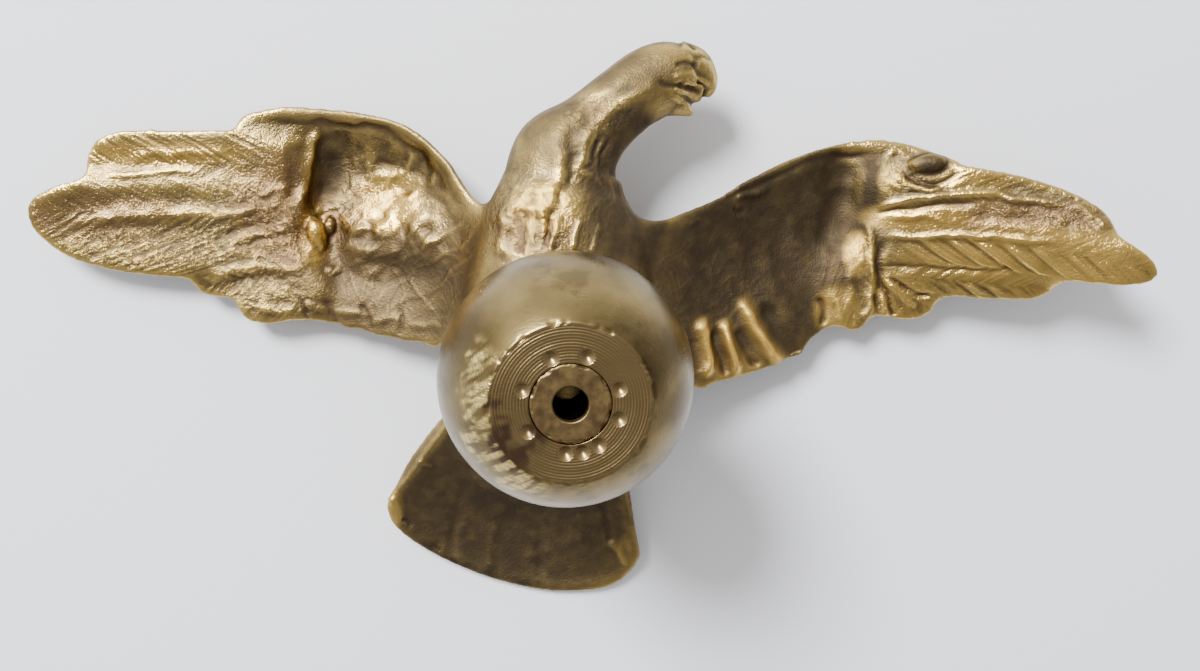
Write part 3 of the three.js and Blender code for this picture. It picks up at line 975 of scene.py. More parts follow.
class Cut(Enum):
    """The section of a carved line."""

    RIDGE = "ridge"
    GROOVE = "groove"
    BOSS = "boss"  # a smooth lump round the line


@dataclass(frozen=True)
class Stroke:
    """A carved line in plan: x and y of its points, its half width and its height, in millimetres."""

    cut: Cut
    path: Sequence[Place]
    width: float
    height: float

    def relief(self, flat: np.ndarray) -> np.ndarray:
        """Raises or sinks the surface along the line.

        Args:
            flat: Places as x and y.

        Returns:
            The height that it adds at each place, in millimetres.
        """
        line = spline(self.path, np.linspace(0, 1, 6 * len(self.path)))
        reach = 3 * self.width
        near = np.all((flat > line.min(0) - reach) & (flat < line.max(0) + reach), axis=1)
        out = np.zeros(len(flat))
        if not near.any():
            return out
        spots = flat[near]
        best, share = np.full(len(spots), np.inf), np.zeros(len(spots))
        for k, (a, b) in enumerate(zip(line, line[1:])):
            run = b - a
            length = max(np.linalg.norm(run), 1e-6)
            t = np.clip((spots - a) @ run / length**2, 0, 1)
            distance = np.linalg.norm(spots - (a + t[:, None] * run), axis=1)
            closer = distance < best
            best[closer] = distance[closer]
            share[closer] = (k + t[closer]) / (len(line) - 1)
        stubby = smoothstep(10, 5, np.linalg.norm(np.diff(line, axis=0), axis=1).sum() / self.width)
        ends = np.maximum(smoothstep(0, 0.2, share) * smoothstep(1, 0.8, share), stubby)
        if self.cut is Cut.BOSS:
            out[near] = self.height * smoothstep(1, 0, best / self.width) ** 0.6
        else:
            sign = 1 if self.cut is Cut.RIDGE else -1
            out[near] = sign * self.height * ends * np.exp(-((best / self.width) ** 2))
        return out


R, G, B = Cut.RIDGE, Cut.GROOVE, Cut.BOSS
CARVING = 0.65  # how much of the strokes' height is left after years of rubbing

RIGHT_WING_CUTS = (
    # Rounded lip along the leading edge, and the furrow inside it
    Stroke(
        R, [(-94.5, 66.5), (-65, 65), (-49.5, 63), (-41.5, 59), (-34.5, 52.5), (-28.5, 43.5), (-23.5, 38.5)],
        1.6, 0.7,
    ),
    Stroke(
        G,
        [(-94.5, 62.5), (-79, 63), (-64.5, 62.5), (-53, 61), (-45.5, 56), (-38, 48.5), (-32, 42),
         (-27.5, 37.5)],
        1.3, 0.6,
    ),
    # Crest across the wrist, with the pocket beside it and the knob below
    Stroke(R, [(-78, 34), (-78, 39.5), (-77, 44), (-76, 52), (-74, 58), (-72, 61.5)], 1.5, 2.0),
    Stroke(G, [(-81.5, 37), (-81, 44), (-80, 52), (-78.5, 58)], 2.0, 0.9),
    Stroke(G, [(-67, 57), (-68, 50), (-70.5, 43.5), (-73, 39)], 4.4, 1.8),
    Stroke(G, [(-60, 50), (-52, 50.5), (-43, 48)], 8.0, 2.8),
    Stroke(R, [(-79, 35), (-73.5, 35.5), (-66.5, 37)], 0.6, 0.5),
    Stroke(B, [(-56, 27), (-49, 29), (-42, 28.5)], 13, 5.5),
    Stroke(G, [(-78, 35), (-78.5, 29.5), (-78, 25), (-75.5, 20)], 1.6, 0.5),
    # Folds in the middle of the hollow
    Stroke(R, [(-57.5, 46.5), (-51.5, 46.5), (-45.5, 47.5)], 1.2, 0.5),
    Stroke(R, [(-50, 43), (-46, 40), (-42, 43)], 1.1, 0.5),
    Stroke(R, [(-64.5, 26.5), (-58, 30), (-52.5, 27)], 1.2, 0.5),
    # Creases that run down to the trailing edge
    Stroke(R, [(-23, 34.5), (-30.5, 25), (-41.5, 18), (-47, 11.5)], 0.6, 0.22),
    Stroke(R, [(-23, 28), (-33.5, 16.5), (-42, 9)], 0.6, 0.22),
    Stroke(R, [(-27.5, 34.5), (-34.5, 28), (-42, 24)], 0.6, 0.22),
    Stroke(R, [(-50, 30), (-55, 23.5), (-60.5, 19.5)], 0.6, 0.22),
    Stroke(R, [(-57.5, 37), (-63.5, 29.5), (-70, 26.5)], 0.6, 0.22),
    Stroke(R, [(-29.5, 21.5), (-37.5, 10.5), (-42.5, 5.5)], 0.6, 0.22),
    # Lip of the trailing edge, notched between the secondaries
    Stroke(R, [(-77.5, 7), (-72, 5)], 1.4, 0.6),
    Stroke(R, [(-69, 4.5), (-64.5, 5), (-60, 4)], 1.4, 0.7),
    Stroke(R, [(-57.5, 1.5), (-52.5, 3.5), (-49.5, 3)], 1.4, 0.7),
    Stroke(R, [(-46.5, 1), (-40.5, 1.5), (-34.5, 1)], 1.4, 0.6),
    Stroke(G, [(-71.5, 7.5), (-70.5, 5), (-69, 1.5)], 1.2, 0.8),
    Stroke(G, [(-60.5, 6), (-59.5, 3.5), (-58, 0.5)], 1.2, 0.8),
    Stroke(G, [(-48.5, 5.5), (-48, 2), (-48.5, -1.5)], 1.1, 0.8),
    # Shafts and soft flutes of the primaries
    Stroke(R, [(-129, 53), (-123, 53.5), (-114, 54), (-106.5, 54), (-97.5, 55)], 1.3, 0.4),
    Stroke(R, [(-138.5, 47), (-131, 47), (-121, 47.5), (-114.5, 48.5), (-106.5, 48.5)], 1.0, 0.6),
    Stroke(G, [(-153, 37), (-145, 38), (-134, 40), (-120, 41.5), (-106, 42)], 4.0, 0.5),
    Stroke(R, [(-152, 33.5), (-137.5, 34), (-123.5, 35), (-108, 35.5), (-97, 36), (-89, 37)], 2.4, 0.7),
    # Strokes that draw together at the wrist
    Stroke(R, [(-109, 34.5), (-98.5, 36), (-89.5, 37.5), (-83, 40.5)], 1.5, 0.5),
    Stroke(R, [(-104.5, 24.5), (-96, 28), (-88, 30), (-80, 31.5)], 1.5, 0.6),
    Stroke(R, [(-107, 20.5), (-97.5, 24.5), (-88.5, 26), (-78.5, 28)], 1.4, 0.6),
    Stroke(G, [(-106.5, 27.5), (-97, 30.5), (-88, 33), (-80, 34.5)], 1.5, 0.4),
    Stroke(R, [(-91.5, 40.5), (-87, 42), (-81.5, 43.5)], 1.0, 0.5),
    # Lowest primaries
    Stroke(R, [(-109, 13.5), (-103, 17.5), (-94, 19), (-84, 19), (-75.5, 19.5)], 1.9, 1.0),
    Stroke(G, [(-103, 13), (-96.5, 14.5), (-86, 14.5)], 2.4, 0.7),
    Stroke(R, [(-94, 7), (-89.5, 5.5), (-81, 4.5)], 1.4, 0.7),
    Stroke(G, [(-80, 9.5), (-78.5, 6), (-78.5, 2.5)], 1.1, 0.6),
    Stroke(B, [(-71, 17.5), (-69.5, 17), (-68, 17.5)], 1.6, 1.0),
)

LEFT_WING_CUTS = (
    # Rim of the leading edge, with the furrow inside it
    Stroke(
        R,
        [(29.5, 34), (39.5, 33.5), (50.5, 40.5), (62, 45.5), (75.5, 51), (87, 54.5), (103.5, 55), (118, 55.5)],
        1.8, 0.6,
    ),
    Stroke(G, [(46, 37), (55.5, 40.5), (68, 45.5), (81.5, 50.5), (95.5, 52.5), (103.5, 53.5)], 1.3, 0.6),
    # Casting flaw: a pit with a curl of metal beside a low lump
    Stroke(G, [(56.5, 35.5), (57.5, 35), (59, 35)], 1.1, 1.2),
    Stroke(R, [(56.5, 39.5), (60, 40.5), (66, 41.5)], 1.2, 1.0),
    Stroke(R, [(55, 36.5), (57, 33.5), (60, 34)], 0.6, 0.5),
    Stroke(R, [(42, 32.5), (45, 33)], 0.9, 0.5),
    # Soft swells over the arm
    Stroke(G, [(64.5, 37.5), (71, 29), (75.5, 16)], 4.0, 1.0),
    Stroke(R, [(56, 30), (57.5, 20.5), (56.5, 9.5)], 4.5, 0.9),
    Stroke(R, [(68, 42), (76, 33), (79, 20)], 3.5, 0.8),
    Stroke(G, [(93, 52), (93, 47), (92.5, 38), (90, 28), (88, 20)], 5.5, 2.6),
    # Flutes of the secondaries
    Stroke(R, [(45, 3), (48, -7), (48.5, -18.5)], 1.7, 3.0),
    Stroke(R, [(53, 2), (56, -8), (59, -17)], 1.7, 3.0),
    Stroke(R, [(59, 9), (63.5, -1), (68, -8), (73.5, -14)], 1.8, 3.4),
    Stroke(G, [(50, -1), (52.3, -9), (54, -18.5)], 1.8, 1.8),
    Stroke(G, [(58, 0), (61.5, -8), (66, -15.5)], 1.9, 2.0),
    Stroke(G, [(66, 7), (70.5, -1), (76, -8), (80, -13)], 2.6, 2.4),
    Stroke(G, [(42.5, -2), (44, -9.5), (44.5, -16.5)], 2.0, 1.0),
    Stroke(G, [(85.5, 8), (87, 2.5), (87.5, -3.5)], 1.1, 1.6),
    Stroke(R, [(90, 8), (92.5, 4), (92.5, -2)], 1.4, 0.8),
    Stroke(R, [(96, 16), (96, 10.5), (94.5, 4)], 1.6, 0.8),
    # Step between arm and hand, ragged like a rope
    Stroke(R, [(98.5, -1), (101.5, 3.5), (103, 12.5), (102.5, 19.5), (101, 27), (100, 33)], 1.3, 1.5),
    Stroke(G, [(105.5, 27), (104.5, 20), (105.5, 12.5), (103, 2.5)], 1.3, 1.2),
    Stroke(R, [(97.5, 24.5), (98, 21.5), (99, 19)], 2.0, 0.9),
    # Knob at the end of the leading edge, and the furrow round it
    Stroke(G, [(111, 48), (114.5, 45), (120.5, 44.5), (125.5, 46.5), (127, 50)], 1.2, 0.9),
    Stroke(R, [(107.5, 47.5), (111, 44.5), (117, 42.5), (123.5, 43.5)], 1.3, 1.0),
    Stroke(R, [(106.5, 52), (109.5, 53.5), (112.5, 52)], 0.9, 0.6),
    Stroke(R, [(107, 44), (110, 42.5)], 0.8, 0.5),
    # Shafts, flutes and borders of the primaries
    Stroke(R, [(103, 36), (108.5, 38), (121.5, 40), (134, 40.5), (147, 39.5), (160, 38)], 1.2, 1.5),
    Stroke(G, [(102, 34.5), (109, 35.5), (121.5, 37), (134.5, 37.5)], 1.0, 0.9),
    Stroke(G, [(126.5, 34), (138, 34.5), (150.5, 33), (160.5, 31), (168.5, 29)], 2.2, 0.9),
    Stroke(R, [(149.5, 39), (160, 37.5), (169, 33), (170.5, 30)], 1.6, 1.0),
    Stroke(R, [(104, 27), (115, 27.5), (130, 28), (142.5, 27), (159, 26)], 1.0, 0.9),
    Stroke(G, [(103.5, 17.5), (118.5, 17), (136, 17), (148, 15.5)], 1.1, 0.9),
    Stroke(R, [(107.5, 32.5), (115.5, 34), (124, 31.5)], 0.9, 0.5),
    Stroke(G, [(104.5, 14), (109, 4), (110.5, 1)], 0.9, 1.0),
    Stroke(G, [(107.5, 15), (114.5, 10), (121.5, 8)], 0.9, 1.0),
    Stroke(R, [(103.5, 11.5), (107, 5), (106.5, 0)], 1.3, 0.9),
    Stroke(R, [(106.5, 13.5), (112.5, 7.5), (118, 4)], 1.3, 0.9),
)

NECK_CUTS = (
    # Hood over crown and nape: two smooth facets with a firm lower edge
    Stroke(R, [(-3, 55), (2, 62), (9, 69), (17, 75), (26, 80)], 3.0, 0.7),
    Stroke(G, [(1, 55), (5, 61), (10.5, 66.5), (17, 71.5), (25, 75)], 2.0, 0.6),
    Stroke(R, [(3, 56), (8.5, 61.5), (14, 66), (20, 70), (27, 73), (32, 74.5)], 2.6, 1.1),
    # Eye slot, nostril and a nick in the beak
    Stroke(G, [(34.5, 80), (38.5, 80), (43, 79.5)], 0.9, 0.8),
    Stroke(G, [(41.5, 82), (43.5, 83), (45.5, 82.5)], 1.1, 0.5),
    Stroke(G, [(40, 86.5), (41, 85.5)], 0.7, 1.0),
    # Open beak, with the ridges of the palate
    Stroke(G, [(29.5, 74.5), (33, 74.7), (38, 74.5)], 0.8, 0.8),
    Stroke(G, [(37, 74), (40.5, 73), (43.5, 71)], 1.1, 0.8),
    Stroke(R, [(34.5, 74), (37.5, 72.5), (41, 70.5)], 0.6, 0.8),
    Stroke(R, [(37, 75.5), (40.5, 74.5), (43.5, 73)], 0.6, 0.8),
    Stroke(R, [(34, 72), (37, 69.5), (40.5, 67)], 1.0, 0.8),
    Stroke(R, [(33.5, 76), (38.5, 76.5), (43, 76), (45.5, 73)], 0.9, 0.8),
    # Locks of the throat
    Stroke(R, [(9, 60.5), (8, 57.5), (7, 54), (6, 51)], 1.5, 1.2),
    Stroke(R, [(14, 61), (12.5, 56), (12, 50), (12.5, 43)], 0.6, 0.4),
    Stroke(R, [(17, 60), (15.5, 54), (15.5, 47), (17, 39)], 0.6, 0.4),
    Stroke(R, [(19.5, 57), (18.5, 50), (19.5, 42), (23, 33)], 0.6, 0.4),
    Stroke(G, [(16, 61), (14, 55), (13.8, 48), (14.5, 41)], 0.6, 0.4),
    Stroke(G, [(11.5, 60.5), (11, 56), (9.5, 52)], 1.2, 0.9),
    Stroke(G, [(4.5, 56.5), (5, 53), (3.5, 49), (2.5, 45)], 1.6, 0.8),
    Stroke(R, [(8, 49), (9.5, 48)], 1.2, 0.8),
    Stroke(R, [(13, 64.5), (15, 66)], 0.9, 0.5),
    # Lumps and drips of metal on the breast
    Stroke(R, [(-5, 38), (-2, 43), (0.5, 48), (1, 53)], 2.6, 1.4),
    Stroke(R, [(-15, 36), (-12, 40), (-7.5, 43.5), (-3, 45)], 2.6, 1.2),
    Stroke(R, [(-15.5, 35.5), (-16, 31.5), (-16, 27.5)], 1.4, 1.3),
    Stroke(R, [(-7.5, 38.5), (-8, 35), (-8.5, 31.5)], 1.3, 1.2),
    Stroke(R, [(-4.5, 39), (-4, 36), (-4.5, 33)], 1.2, 1.0),
    Stroke(R, [(-0.5, 36), (-1.5, 32), (-2, 27.5)], 1.3, 1.1),
    Stroke(R, [(7, 37), (5, 32.5), (3, 28)], 0.6, 0.7),
    Stroke(R, [(11.5, 36), (10.5, 31.5), (9, 27)], 0.6, 0.6),
    Stroke(G, [(-11.5, 35), (-11, 32), (-11.5, 29)], 1.4, 1.2),
    Stroke(G, [(-2.5, 38), (-3, 33.5), (-3.5, 29.5)], 1.2, 1.1),
    Stroke(G, [(0.5, 45), (0, 40.5), (-2.5, 36.5)], 1.4, 1.1),
    Stroke(G, [(15, 61), (13, 53), (12.5, 46)], 1.0, 0.7),
)

TAIL_CUTS = (
    Stroke(R, [(18, -74.5), (21.5, -79.5), (24.5, -86)], 1.4, 0.9),
    Stroke(G, [(14.5, -61), (16.5, -70), (19, -77.5)], 1.2, 0.8),
    Stroke(R, [(-54.5, -57), (-53, -61), (-51, -68)], 1.4, 1.2),
    Stroke(G, [(-51.5, -65.5), (-49, -67), (-48, -70)], 0.6, 0.8),
    Stroke(G, [(-41.5, -76), (-39, -78)], 0.6, 0.6),
    Stroke(R, [(-45, -45.5), (-41.5, -47)], 0.8, 0.5),
    Stroke(G, [(-28, -49.5), (-33.5, -67.5), (-35, -82.5)], 1.8, 0.5),
    Stroke(R, [(-18.5, -61), (-21.5, -77.5), (-22.5, -88.5)], 1.8, 0.5),
    Stroke(G, [(-5.5, -63), (-5.5, -78), (-5, -91)], 1.8, 0.5),
    Stroke(R, [(6.5, -61), (8, -76), (10, -89.5)], 1.8, 0.5),
)


@dataclass(frozen=True)
class Patch:
    """A stretch of the figure in plan that differs from the rest: its middle, its reach and how much."""

    middle: Place
    reach: Place
    amount: float = 1.0

    def share(self, flat: np.ndarray) -> np.ndarray:
        """Returns how much of it is at each place: its amount in the middle, nothing past its reach."""
        away = np.linalg.norm((flat - self.middle) / self.reach, axis=1)
        return self.amount * smoothstep(1.0, 0.45, away)

    @staticmethod
    def total(patches: Iterable[Patch], flat: np.ndarray) -> np.ndarray:
        """Returns the greatest share of any patch at each place."""
        return np.max([patch.share(flat) for patch in patches], axis=0)


# Where limbs, wings and tail run into the body without an edge
FILLETS = (
    Patch((-13, -50), (30, 20)), Patch((-25, 15), (16, 44)), Patch((25, 12), (18, 46)),
    Patch((-4, -24), (24, 12), 0.8),
)
# Where the metal is beaten or melted into small facets
HAMMERED = (
    Patch((-90, 30), (26, 18)), Patch((-122, 26), (34, 9), 0.9), Patch((-56, 46), (20, 18), 0.4),
    Patch((-90, 13), (20, 11)), Patch((99, 23), (8, 9), 0.7), Patch((13, 66), (15, 7), 0.8),
    Patch((-8, 38), (16, 14)), Patch((110, 8), (18, 9), 0.6), Patch((110, 46), (10, 9), 0.6),
    Patch((160, 36), (16, 8), 0.5),
)
# Where larger folds of metal lie in the hollows
CRUMPLED = (
    Patch((-46, 48), (14, 9), 0.5), Patch((-62, 40), (8, 12), 0.4), Patch((-8, 38), (14, 10), 0.6),
    Patch((-88, 28), (14, 10), 0.5),
)
# Where fine creases cross
CRINKLED = (
    Patch((-48, 18), (32, 22)), Patch((50, 12), (26, 26), 0.6), Patch((-70, 30), (14, 18), 0.5),
    Patch((12, 48), (9, 22), 0.7),
)
# Where the brass has browned, and where shade is painted: the arm turned from the light, the tail in the ball's
# shadow, the neck's far side, the pocket beside the crest, and a dark reflection on the knob
BROWNED_AND_SHADED = (
    Patch((66, 20), (52, 52)), Patch((85, 40), (17, 24)), Patch((80, 22), (19, 24)),
    Patch((-14, -66), (64, 50), 1.0), Patch((17, 42), (14, 32), 0.95), Patch((26, 36), (14, 26), 0.95),
    Patch((-71, 48), (7, 13), 1.0), Patch((0, -20), (40, 40), 0.6), Patch((-48, 12), (40, 24), 0.75),
    Patch((22, 62), (11, 10), 0.95), Patch((0, 62), (17, 15), 0.75), Patch((22, 78), (20, 10), 0.8),
    Patch((118.5, 49.8), (8, 5), 1.0), Patch((39, 79.8), (6, 1.6), 0.8),
)
# Where polish has left the copper showing
PINK = (
    Patch((-82, 36), (22, 26), 0.8), Patch((-56, 20), (40, 28), 0.5), Patch((-140, 36), (34, 9), 0.7),
    Patch((145, 33), (44, 8), 0.8), Patch((60, -8), (30, 20), 0.4), Patch((92, 12), (10, 14), 0.5),
    Patch((-8, 34), (18, 12), 0.5), Patch((14, 66), (10, 5), 0.4),
)
# Where hands keep it bright, and painted highlight on lit places such as the spot in the right wing's hollow
RUBBED_AND_HIGHLIT = (
    Patch((-53, -62), (3.5, 9), 0.4), Patch((23, -80), (3, 8), 0.25), Patch((-75, 28), (5, 12)),
    Patch((-76, 48), (3, 16), 0.3), Patch((-51, 39), (13, 12), 1.0), Patch((133, 44), (13, 7), 0.5),
    Patch((107, 45), (5, 6), 0.5), Patch((98, 21), (6, 9)), Patch((115, 33), (20, 6), 0.8),
    Patch((112, 8), (16, 12), 0.6), Patch((92, 3), (10, 10), 0.7), Patch((-4, 40), (12, 9), 0.8),
    Patch((-120, 54), (34, 5), 0.7), Patch((56, -14), (16, 7), 0.4), Patch((150, 20), (50, 14), 0.85),
)

# Painted highlight along the top of the flutes
PAINTED_HIGHLIGHT_LINES = (
    Stroke(R, [(45, 4), (48, -7), (48.7, -19)], 2.2, 1.0),
    Stroke(R, [(53, 3), (56, -8), (59.3, -17.5)], 2.2, 1.0),
    Stroke(R, [(58.5, 10), (63.5, -1), (68, -8), (74, -14.5)], 2.3, 1.0),
)
# Painted shade along the rim's flank and in the fold between arm and hand
PAINTED_SHADE_LINES = (
    Stroke(
        R,
        [(-94.5, 68), (-80, 67.5), (-65, 66.5), (-49.5, 64.5), (-40.5, 60), (-33, 53), (-27, 44), (-22.5, 39)],
        3.2, 0.75,
    ),
    Stroke(R, [(-130, 57.5), (-120, 57.5), (-106, 58), (-98, 61)], 1.8, 0.5),
    Stroke(R, [(99, 57), (101.5, 48), (101, 38), (98, 29), (93, 18)], 4.5, 1.2),
)


# Meshes in Blender


def new_object(name: str, form: Form, origin: np.ndarray) -> bpy.types.Object:
    """Makes a mesh object from a form.

    Args:
        name: The piece's name.
        form: The mesh, in millimetres in the figure's frame.
        origin: Where the figure's frame has its origin, in metres.

    Returns:
        The object, in the scene.
    """
    mesh = bpy.data.meshes.new(name)
    mesh.from_pydata((form.points * MM + origin).tolist(), [], form.faces)
    mesh.validate()
    piece = bpy.data.objects.new(name, mesh)
    bpy.context.scene.collection.objects.link(piece)
    return piece


def shade_smooth(mesh: bpy.types.Mesh) -> None:
    """Gives every face of a mesh smooth shading."""
    mesh.polygons.foreach_set("use_smooth", np.ones(len(mesh.polygons), bool))


def store(mesh: bpy.types.Mesh, name: str, values: np.ndarray) -> None:
    """Keeps one number for each vertex under a name that materials can read."""
    attribute = mesh.attributes.new(name, "FLOAT", "POINT")
    attribute.data.foreach_set("value", values.astype(np.float32))


class Skin:
    """The casting's surface as arrays: points, quads, and what the carving does to them."""

    def __init__(self, points: np.ndarray, quads: np.ndarray) -> None:
        """Keeps the mesh and works out its edges.

        Args:
            points: Places in millimetres.
            quads: Four point numbers for each face.
        """
        self.points = points
        self.quads = quads
        edges = np.vstack([quads[:, [k, (k + 1) % 4]] for k in range(4)])
        self.edges = np.unique(np.sort(edges, axis=1), axis=0)
        self.degree = np.bincount(self.edges.ravel(), minlength=len(points)).astype(float)

    def averaged(self, values: np.ndarray, times: int = 1) -> np.ndarray:
        """Evens out values over the surface.

        Args:
            values: A value or a row of values for each point.
            times: How often each is replaced by the mean of its neighbours and itself.

        Returns:
            The evened values.
        """
        count = len(self.points)
        a, b = self.edges.T
        values = values.reshape(count, -1)
        for _ in range(times):
            total = np.empty_like(values)
            for k in range(values.shape[1]):
                column = values[:, k]
                total[:, k] = np.bincount(a, column[b], count) + np.bincount(b, column[a], count) + column
            values = total / (self.degree + 1)[:, None]
        return values

    def normals(self) -> np.ndarray:
        """Works out which way the surface faces.

        Returns:
            Each point's direction out of the surface.
        """
        corners = self.points[self.quads]
        face = np.cross(corners[:, 2] - corners[:, 0], corners[:, 3] - corners[:, 1])
        total = np.zeros_like(self.points)
        for k in range(3):
            for j in range(4):
                total[:, k] += np.bincount(self.quads[:, j], face[:, k], len(self.points))
        return unit(total)

    def push(self, heights: np.ndarray) -> None:
        """Moves every vertex outwards by its height."""
        self.points = self.points + self.normals() * heights[:, None]


class EagleCasting:
    """The eagle: forms joined into one skin, smoothed, carved, and cut into parts that share their edges."""

    VOXEL = 0.5  # mm, the size of its quads
    COARSE = 1.0
    EVENING = 60  # rounds of averaging in the fillets at the fine size
    DRIFT = 0.9  # mm that strokes wander off their drawn line
    FOLD = 2.0  # mm, the height of the larger folds
    FOLD_SIZE = 6.5
    CREASE = 0.16  # mm, the depth of the fine creases
    CREASE_SIZE = (16, 2.2, 9)
    CREASE_TURNS = (28, 62, 115)  # degrees in which they run
    PIT_SIZE = 2.2  # mm, the lumps left by the sand, and their height plain and hammered
    PITS = (0.04, 0.15)

    def __init__(self, origin: np.ndarray, low: Vector, high: Vector) -> None:
        """Keeps the place and the box that the casting has in the frame.

        Args:
            origin: Where the figure's frame has its origin, in metres.
            low: The box's lowest corner.
            high: Its highest corner.
        """
        self.origin = origin
        self.low, self.high = (np.array(corner) for corner in (low, high))
        self.voxel = self.VOXEL
        self.noise = Noise(7)

    def build(self) -> list[bpy.types.Object]:
        """Builds the casting, with its layers of wear, painted shade and painted highlight, and its shading.

        Returns:
            Its parts.
        """
        skin = self._skin()
        LOG.info("casting: %d vertices", len(skin.points))
        layers = self._carve(skin)
        skin.points = np.clip(skin.points, (self.low - self.origin) / MM, (self.high - self.origin) / MM)
        wide = skin.averaged(skin.points, 24)
        near = skin.averaged(skin.points, 4)
        normals = skin.normals()
        cavity = np.einsum("ij,ij->i", (wide - skin.points) + 2 * (near - skin.points), normals)
        return self._parts(skin, {"cavity": cavity, **layers}, normals)

    def _skin(self) -> Skin:
        """Joins the forms into one skin; wings and tail are melted sheets that flare at the body.

        Returns:
            The skin, smoothed and not yet carved.
        """
        body = Form.joined([*Trunk().forms(), *Head().forms()])
        knobs = [limb(*knob) for wing in (RIGHT_WING, LEFT_WING) for knob in wing.knobs]
        forms = [body, *Feet().forms(), *knobs]
        for piece in (RIGHT_WING, LEFT_WING, Tail()):
            leaves = HeightMap.of(Form.joined(piece.forms()), self.voxel)
            forms.append(leaves.melted(piece.melt, HeightMap.of(body, self.voxel, leaves)))
        skin = self._remeshed(Form.joined(forms))
        skin.points = skin.averaged(skin.points, 3 if self.voxel == self.VOXEL else 1)
        share = Patch.total(FILLETS, skin.points[:, :2])[:, None]
        for _ in range(int(self.EVENING * (self.VOXEL / self.voxel) ** 2)):
            skin.points += share * (skin.averaged(skin.points) - skin.points)
        return skin

    def _remeshed(self, form: Form) -> Skin:
        """Finds the outer skin of overlapping forms.

        Args:
            form: The forms, joined.

        Returns:
            The skin.
        """
        raw = new_object("casting_forms", form, self.origin)
        remesh = raw.modifiers.new("join", "REMESH")
        remesh.mode = "VOXEL"
        remesh.voxel_size = self.voxel * MM
        joined = raw.evaluated_get(bpy.context.evaluated_depsgraph_get()).to_mesh()
        points = np.empty(len(joined.vertices) * 3, np.float32)
        joined.vertices.foreach_get("co", points)
        quads = np.empty(len(joined.polygons) * 4, np.int32)
        joined.polygons.foreach_get("vertices", quads)
        bpy.data.objects.remove(raw)
        return Skin((points.reshape(-1, 3) - self.origin) / MM, quads.reshape(-1, 4))

    def _carve(self, skin: Skin) -> dict[str, np.ndarray]:
        """Carves feathers, strokes and the casting's own roughness into a skin.

        Args:
            skin: The skin, which is changed.

        Returns:
            What differs from place to place, by the layer's name.
        """
        points, normals = skin.points, skin.normals()
        flat = points[:, :2]
        facing = smoothstep(0.05, 0.45, normals[:, 2])
        height, covered = np.zeros(len(points)), np.zeros(len(points))
        for wing in (RIGHT_WING, LEFT_WING):
            for feather in wing.feathers:
                barbs, inside = feather.relief(points, self.noise)
                height = height * (1 - inside) + barbs * inside
                covered = np.maximum(covered, inside)
        drift = np.stack([self.noise.at(points, 5), self.noise.at(points + 50, 5)], axis=1)
        strokes = (*RIGHT_WING_CUTS, *LEFT_WING_CUTS, *NECK_CUTS, *TAIL_CUTS)
        carved = sum(stroke.relief(flat + self.DRIFT * drift) for stroke in strokes)
        height += CARVING * carved * (1.0 + 0.3 * self.noise.at(points, 4))
        height *= facing
        hammered, crinkled = Patch.total(HAMMERED, flat), Patch.total(CRINKLED, flat)
        height += (self.PITS[0] + self.PITS[1] * hammered) * self.noise.octaves(points, self.PIT_SIZE)
        folds = 0.25 - np.abs(self.noise.at(points + 2 * drift[:, :1], self.FOLD_SIZE))
        height += self.FOLD * Patch.total(CRUMPLED, flat) * folds
        bent = flat + 1.5 * drift
        for turn in self.CREASE_TURNS:
            along = np.array([math.cos(math.radians(turn)), math.sin(math.radians(turn))])
            place = np.stack([bent @ along, bent @ (-along[1], along[0]), 0 * bent[:, 0] + turn], axis=1)
            height -= self.CREASE * crinkled * self.noise.creases(place, self.CREASE_SIZE)
        skin.push(height)
        self._clear_of_ball(skin)
        return self._wear_and_painted_light(flat, normals, facing)

    def _clear_of_ball(self, skin: Skin) -> None:
        """Moves points that would lie inside the ball onto the gap round it.

        Args:
            skin: The skin, which is changed.
        """
        ball, clear = np.array([0, 0, CAST.ball_height]), CAST.ball_radius + CAST.claw_gap
        away = skin.points - ball
        distance = np.linalg.norm(away, axis=1)
        inside = distance < clear
        skin.points[inside] = ball + away[inside] / distance[inside, None] * clear

    def _wear_and_painted_light(self, flat: np.ndarray, normals: np.ndarray, facing: np.ndarray) -> dict[str, np.ndarray]:
        """Works out where the metal is browned or painted in shade, pink, rubbed or painted with highlight, or
        hammered.

        Args:
            flat: The points' places as x and y, before carving.
            normals: Their directions out of the surface.
            facing: How much carving reaches each point.

        Returns:
            A share from 0 to 1 for each point, by the layer's name.
        """
        tables = {"browned_and_shaded": BROWNED_AND_SHADED, "pink": PINK, "rubbed_and_highlit": RUBBED_AND_HIGHLIT, "hammered": HAMMERED}
        layers = {name: Patch.total(patches, flat) * facing for name, patches in tables.items()}
        # Painted shade: faces that turn away from upright are darkened
        layers["browned_and_shaded"] = np.maximum(layers["browned_and_shaded"], 0.6 * smoothstep(0.7, 0.3, normals[:, 2]))
        for name, lines in (("browned_and_shaded", PAINTED_SHADE_LINES), ("rubbed_and_highlit", PAINTED_HIGHLIGHT_LINES)):
            for line in lines:
                layers[name] = np.maximum(layers[name], line.relief(flat) * facing)
        return layers

